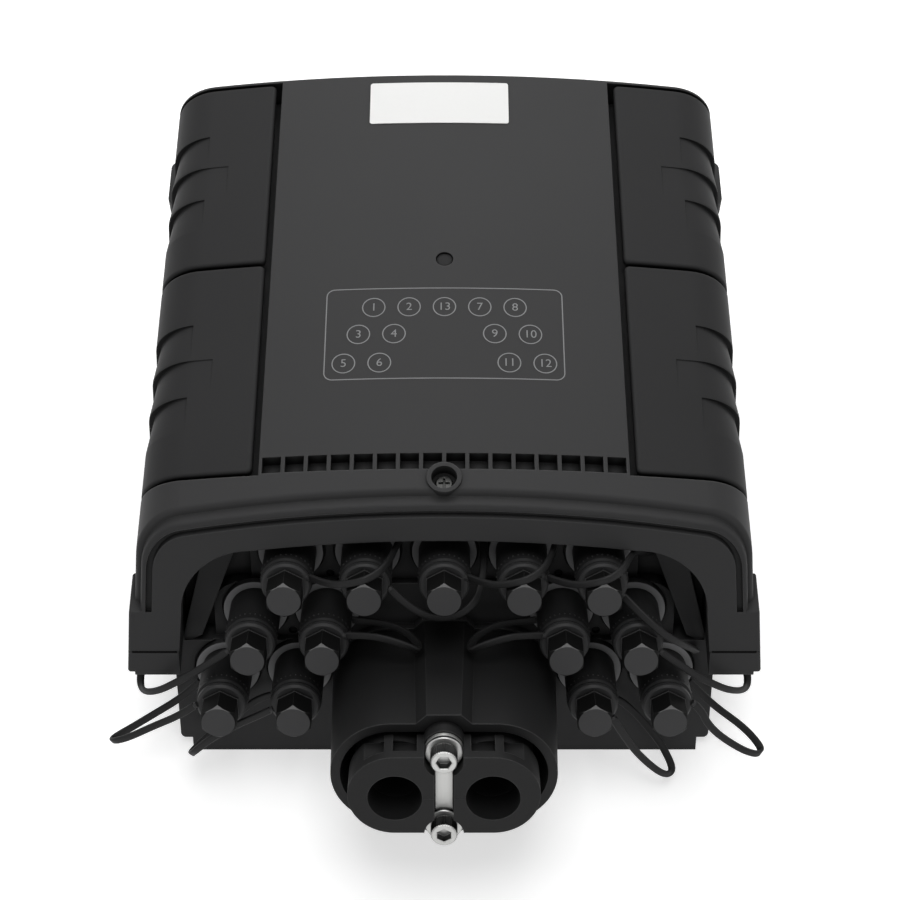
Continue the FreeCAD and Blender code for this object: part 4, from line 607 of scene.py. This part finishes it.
def buildLegend():
    shape = bmesh.new()
    half, line, ring = legend["half"], legend["line"], legend["ring"]
    front, back, corner = legend["front"], legend["back"], legend["corner"]
    outer = roundedOutline(-half, half, front, back, corner)
    inner = roundedOutline(line - half, half - line, front + line, back - line, corner - line)
    lineStrip(shape, outer, inner)
    for port, (x, y) in legendPlaces.items():
        lineStrip(shape, circleOutline(x, y, ring), circleOutline(x, y, ring - line))
        addFigure(shape, port, x, y)
    cutStrips(shape, -half, half, legend["strips"])
    raiseToCrown(shape, legend["rise"])
    finishPiece("portLegend", shape, "printGrey", "cover")


buildLegend()
print("plate and port map on the cover")


# helpers for turned pieces: loops of points joined one after another
def loopEdges(verts):
    inside = set(verts)
    edges = dict.fromkeys(edge for vert in verts for edge in vert.link_edges)
    return [edge for edge in edges if set(edge.verts) <= inside]


def addLoop(shape, segments, radius, height):
    verts = bmesh.ops.create_circle(shape, segments=segments, radius=radius)["verts"]
    bmesh.ops.translate(shape, verts=verts, vec=(0, 0, height))
    return verts


def joinLoops(shape, loops, closed):
    pairs = list(zip(loops, loops[1:]))
    if closed:
        pairs.append((loops[-1], loops[0]))
    for low, high in pairs:
        bmesh.ops.bridge_loops(shape, edges=loopEdges(low) + loopEdges(high))
    if not closed:
        for loop in (loops[0], loops[-1]):
            bmesh.ops.edgeloop_fill(shape, edges=loopEdges(loop))


def addRing(shape, segments, profile):
    joinLoops(shape, [addLoop(shape, segments, wide, height) for wide, height in profile], True)


def frontMatrix(x, up, out):
    # from a piece drawn in millimetres, with z along the port axes, to its place on the front
    place = frontPoint(x, up, out)
    axes = (Vector((1, 0, 0)), frontUp, frontOut)
    rows = [(*(axis[row] * mm for axis in axes), place[row]) for row in range(3)]
    return Matrix(rows + [(0, 0, 0, 1)])


# gland screws: knurled socket heads on washers, the sockets turned as they were tightened
gland = {"drop": 87.0, "plateFace": 60.2}
screw = {"offset": 16.6, "seat": 55.2, "radius": 5.0, "height": 6.0, "teeth": 36, "tooth": 0.3,
         "chamfer": 0.55, "land": 0.5, "flats": 5.0, "socketDepth": 3.2, "socketLead": 0.25,
         "shank": 2.95, "length": 30.8, "tip": 0.5, "turns": {1: 30, -1: 0}, "smooth": 25}
washer = {"bore": 3.2, "radius": 7.0, "thickness": 1.6, "round": 0.3, "segments": 48}


def toothedLoop(shape, radius, height):
    verts = addLoop(shape, 2 * screw["teeth"], radius, height)
    for vert in verts[::2]:
        vert.co.xy *= 1 - screw["tooth"] / radius
    return verts


def socketLoop(shape, spare, height, turn):
    # a round loop drawn out to six flats
    verts = addLoop(shape, 2 * screw["teeth"], screw["flats"] / 2 + spare, height)
    sixth = math.radians(60)
    for vert in verts:
        angle = math.atan2(vert.co.y, vert.co.x) - math.radians(turn)
        vert.co.xy /= math.cos((angle + sixth / 2) % sixth - sixth / 2)
    return verts


def addScrew(shape, turn):
    count = 2 * screw["teeth"]
    radius, shank, tip = screw["radius"], screw["shank"], screw["tip"]
    top, lead = screw["height"], screw["socketLead"]
    loops = [
        addLoop(shape, count, shank - tip, -screw["length"]),
        addLoop(shape, count, shank, tip - screw["length"]),
        addLoop(shape, count, shank, 0),
        addLoop(shape, count, radius - screw["land"], 0),
        toothedLoop(shape, radius, screw["land"]),
        toothedLoop(shape, radius, top - screw["chamfer"]),
        addLoop(shape, count, radius - screw["chamfer"], top),
        socketLoop(shape, lead, top, turn),
        socketLoop(shape, 0, top - lead, turn),
        socketLoop(shape, 0, top - screw["socketDepth"], turn),
    ]
    joinLoops(shape, loops, False)


def addWasher(shape):
    low = -washer["thickness"]
    bore, edge, radius = washer["bore"], washer["round"], washer["radius"]
    addRing(shape, washer["segments"], [
        (bore, low), (radius - edge, low), (radius, low + edge),
        (radius, -edge), (radius - edge, 0), (bore, 0)])


def buildScrews():
    shape = bmesh.new()
    for side, turn in screw["turns"].items():
        before = len(shape.verts)
        addScrew(shape, turn)
        addWasher(shape)
        shape.verts.ensure_lookup_table()
        place = frontMatrix(0, side * screw["offset"] - gland["drop"], screw["seat"])
        bmesh.ops.transform(shape, matrix=place, verts=shape.verts[before:])
    bmesh.ops.recalc_face_normals(shape, faces=shape.faces)
    piece = finishPiece("knurledScrews", shape, "screwSteel", "base")
    smoothPiece(piece, screw["smooth"])
    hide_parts("gland_screws")


buildScrews()


# thin lines across the front, the same on both sides
def buildLines(name, line, finish):
    shape = bmesh.new()
    size = (line["far"] - line["near"], 2 * line["half"], 2 * line["proud"])
    for side in (-1, 1):
        run = bmesh.ops.create_cube(shape, size=1)["verts"]
        bmesh.ops.scale(shape, verts=run, vec=size)
        middle = side * (line["near"] + line["far"]) / 2
        place = frontMatrix(middle, line["up"], line["out"])
        bmesh.ops.transform(shape, matrix=place, verts=run)
    finishPiece(name, shape, finish, "base")


# moulding seam of the plate: a hairline from each cable hole to the strap's channel
seam = {"near": 3.6, "far": 8.1, "up": -87.5, "out": gland["plateFace"], "half": 0.12,
        "proud": 0.03}
buildLines("plateSeam", seam, "sealRubber")

# captive screw: a low cross-recess head at the bottom of the hood's boss
captive = {"y": -88.5, "seat": 113.4, "foot": 99.6, "shank": 2.4, "head": 3.3, "rise": 0.9,
           "dome": 0.35, "arm": 2.1, "half": 0.42, "recess": 1.2, "segments": 96, "smooth": 30}


def crossLoop(shape, height):
    # a round loop drawn in to the outline of a cross
    verts = addLoop(shape, captive["segments"], captive["arm"], height)
    quarter = math.radians(90)
    leastSine = 0.001
    for vert in verts:
        turn = math.atan2(vert.co.y, vert.co.x)
        angle = abs((turn + quarter / 2) % quarter - quarter / 2)
        along = captive["arm"] / math.cos(angle)
        across = captive["half"] / max(math.sin(angle), leastSine)
        vert.co.xy *= min(along, across) / captive["arm"]
    return verts


def buildCaptive():
    shape = bmesh.new()
    head, shank, seat, dome = captive["head"], captive["shank"], captive["seat"], captive["dome"]
    top = seat + captive["rise"]
    profile = [(shank, captive["foot"]), (shank, seat), (head, seat), (head, top - dome),
               (head - dome, top)]
    loops = [addLoop(shape, captive["segments"], wide, height) for wide, height in profile]
    loops += [crossLoop(shape, top), crossLoop(shape, top - captive["recess"])]
    joinLoops(shape, loops, False)
    place = Matrix.Translation((0, captive["y"] * mm, 0)) @ Matrix.Scale(mm, 4)
    bmesh.ops.transform(shape, matrix=place, verts=shape.verts)
    bmesh.ops.recalc_face_normals(shape, faces=shape.faces)
    piece = finishPiece("crossScrew", shape, "darkScrew", "cover")
    smoothPiece(piece, captive["smooth"])
    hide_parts("captive_screw")


buildCaptive()

# painted shadow: a black strip where the two case halves meet on the front lugs, standing in for
# the shade in the gap
lugGapShadow = {"near": 103.8, "far": 121.2, "up": -63.5, "out": 0, "half": 0.5, "proud": 0.03}
buildLines("paintedLugGapShadow", lugGapShadow, "paintedGapShadow")

# the ports, row by row: how far up the row is, where its barrels stand and their places across
portRows = {
    -31.4: (-24, (-60, -30, 0, 30, 60)),
    -55.5: (-20, (-74.4, -46.2, 46.2, 74.4)),
    -81.1: (-16, (-86.4, -57.7, 57.7, 86.4)),
}

# painted highlight: paler rings laid on the faces of the rims round the port barrels, where the
# rims catch the light
rim = {"inner": 10.05, "outer": 12.6, "height": 2.0, "under": 0.2, "proud": 0.06, "segments": 64,
       "smooth": 30}


def buildRims():
    shape = bmesh.new()
    inner, outer, low, high = rim["inner"], rim["outer"], -rim["under"], rim["proud"]
    profile = [(inner, low), (outer, low), (outer, high), (inner, high)]
    for up, (foot, places) in portRows.items():
        for x in places:
            before = len(shape.verts)
            addRing(shape, rim["segments"], profile)
            shape.verts.ensure_lookup_table()
            place = frontMatrix(x, up, foot + rim["height"])
            bmesh.ops.transform(shape, matrix=place, verts=shape.verts[before:])
    bmesh.ops.recalc_face_normals(shape, faces=shape.faces)
    smoothPiece(finishPiece("paintedRimHighlight", shape, "paintedRimLight", "base"), rim["smooth"])


buildRims()

# a row of small grip dots round each port barrel, near its front
dots = {"count": 32, "barrel": 10.0, "radius": 0.34, "setback": 3.4, "length": 24.0, "smooth": 180}


def buildDots():
    shape = bmesh.new()
    turns = [2 * math.pi * step / dots["count"] for step in range(dots["count"])]
    for up, (foot, places) in portRows.items():
        out = foot + dots["length"] - dots["setback"]
        for x in places:
            for turn in turns:
                dot = bmesh.ops.create_icosphere(shape, subdivisions=1, radius=dots["radius"])
                place = frontMatrix(x + dots["barrel"] * math.cos(turn),
                                    up + dots["barrel"] * math.sin(turn), out)
                bmesh.ops.transform(shape, matrix=place, verts=dot["verts"])
    smoothPiece(finishPiece("gripDots", shape, "dotPlastic", "base"), dots["smooth"])


buildDots()
print("screws, seams, rims and grip dots on the front")

# studio, in metres: pale floor that runs out of view, soft light all round
studio = {"floorHalf": 6.0, "floorTone": 0.82, "floorRough": 0.7, "floorShine": 0.2,
          "floorGlow": 0.55, "glowFrom": 0.6, "glowTo": 2.0, "worldTone": 0.21,
          "aim": (0, -0.02, 0.06)}


def straightRays(tree):
    # rays that see the white ground: straight from the camera, mirrored or through glass
    path = addNode(tree, "ShaderNodeLightPath", (-800, 300)).outputs
    bounced = mathNode(tree, "MAXIMUM", path["Is Glossy Ray"], path["Is Transmission Ray"],
                       (-600, 300))
    return mathNode(tree, "MAXIMUM", path["Is Camera Ray"], bounced, (-400, 300))


def paleFloor():
    # the floor glows for the camera, and more so far from the box, so that it ends in white
    material, tree, shader = newMaterial("paleFloor")
    shader.inputs["Base Color"].default_value = grey(studio["floorTone"])
    shader.inputs["Roughness"].default_value = studio["floorRough"]
    shader.inputs["Specular IOR Level"].default_value = studio["floorShine"]
    glow = addNode(tree, "ShaderNodeEmission", (0, -300))
    where = addNode(tree, "ShaderNodeTexCoord", (-1000, 0))
    away = addNode(tree, "ShaderNodeVectorMath", (-800, 0), operation="LENGTH")
    tree.links.new(where.outputs["Object"], away.inputs[0])
    paler = addNode(tree, "ShaderNodeMapRange", (-600, 0))
    for socket, value in (("From Min", studio["glowFrom"]), ("From Max", studio["glowTo"]),
                          ("To Min", studio["floorGlow"]), ("To Max", 1.0)):
        paler.inputs[socket].default_value = value
    tree.links.new(away.outputs["Value"], paler.inputs["Value"])
    seen = mathNode(tree, "MULTIPLY", straightRays(tree), paler.outputs["Result"], (-200, 300))
    tree.links.new(seen, glow.inputs["Strength"])
    both = addNode(tree, "ShaderNodeAddShader", (300, 0))
    tree.links.new(shader.outputs[0], both.inputs[0])
    tree.links.new(glow.outputs[0], both.inputs[1])
    tree.links.new(both.outputs[0], tree.nodes["Material Output"].inputs["Surface"])
    return material


def buildFloor():
    shape = bmesh.new()
    bmesh.ops.create_grid(shape, x_segments=1, y_segments=1, size=studio["floorHalf"])
    mesh = bpy.data.meshes.new("floor")
    shape.to_mesh(mesh)
    shape.free()
    mesh.materials.append(paleFloor())
    floor = addObject("floor", mesh)


def buildWorld():
    world = bpy.data.worlds.new("studio")
    scene.world = world
    world.use_nodes = True
    tree = world.node_tree
    dim, white = grey(studio["worldTone"]), grey(1)
    tone = mixColour(tree, "MIX", straightRays(tree), dim, white, (-200, 200))
    tree.links.new(tone, tree.nodes["Background"].inputs["Color"])


buildFloor()
buildWorld()

# lamps: place and size in metres, power in watts, all aimed at the box
lamps = {
    "rear": dict(place=(0.0, 0.85, 0.85), size=0.8, power=7.2),
    "overhead": dict(place=(0.0, -0.05, 1.75), size=0.9, power=13),
    "leftSide": dict(place=(-1.3, -0.3, 0.8), size=0.9, power=0.7),
    "rightSide": dict(place=(1.3, -0.3, 0.8), size=0.9, power=0.7),
    "front": dict(place=(0.0, -1.6, 0.35), size=0.9, power=3.2),
}
for name, values in lamps.items():
    light = bpy.data.lights.new(name, "AREA")
    light.size = values["size"]
    light.energy = values["power"]
    lamp = addObject(name, light)
    lamp.location = values["place"]
    aim = Vector(studio["aim"]) - lamp.location
    lamp.rotation_euler = aim.to_track_quat("-Z", "Y").to_euler()
print("studio lit")
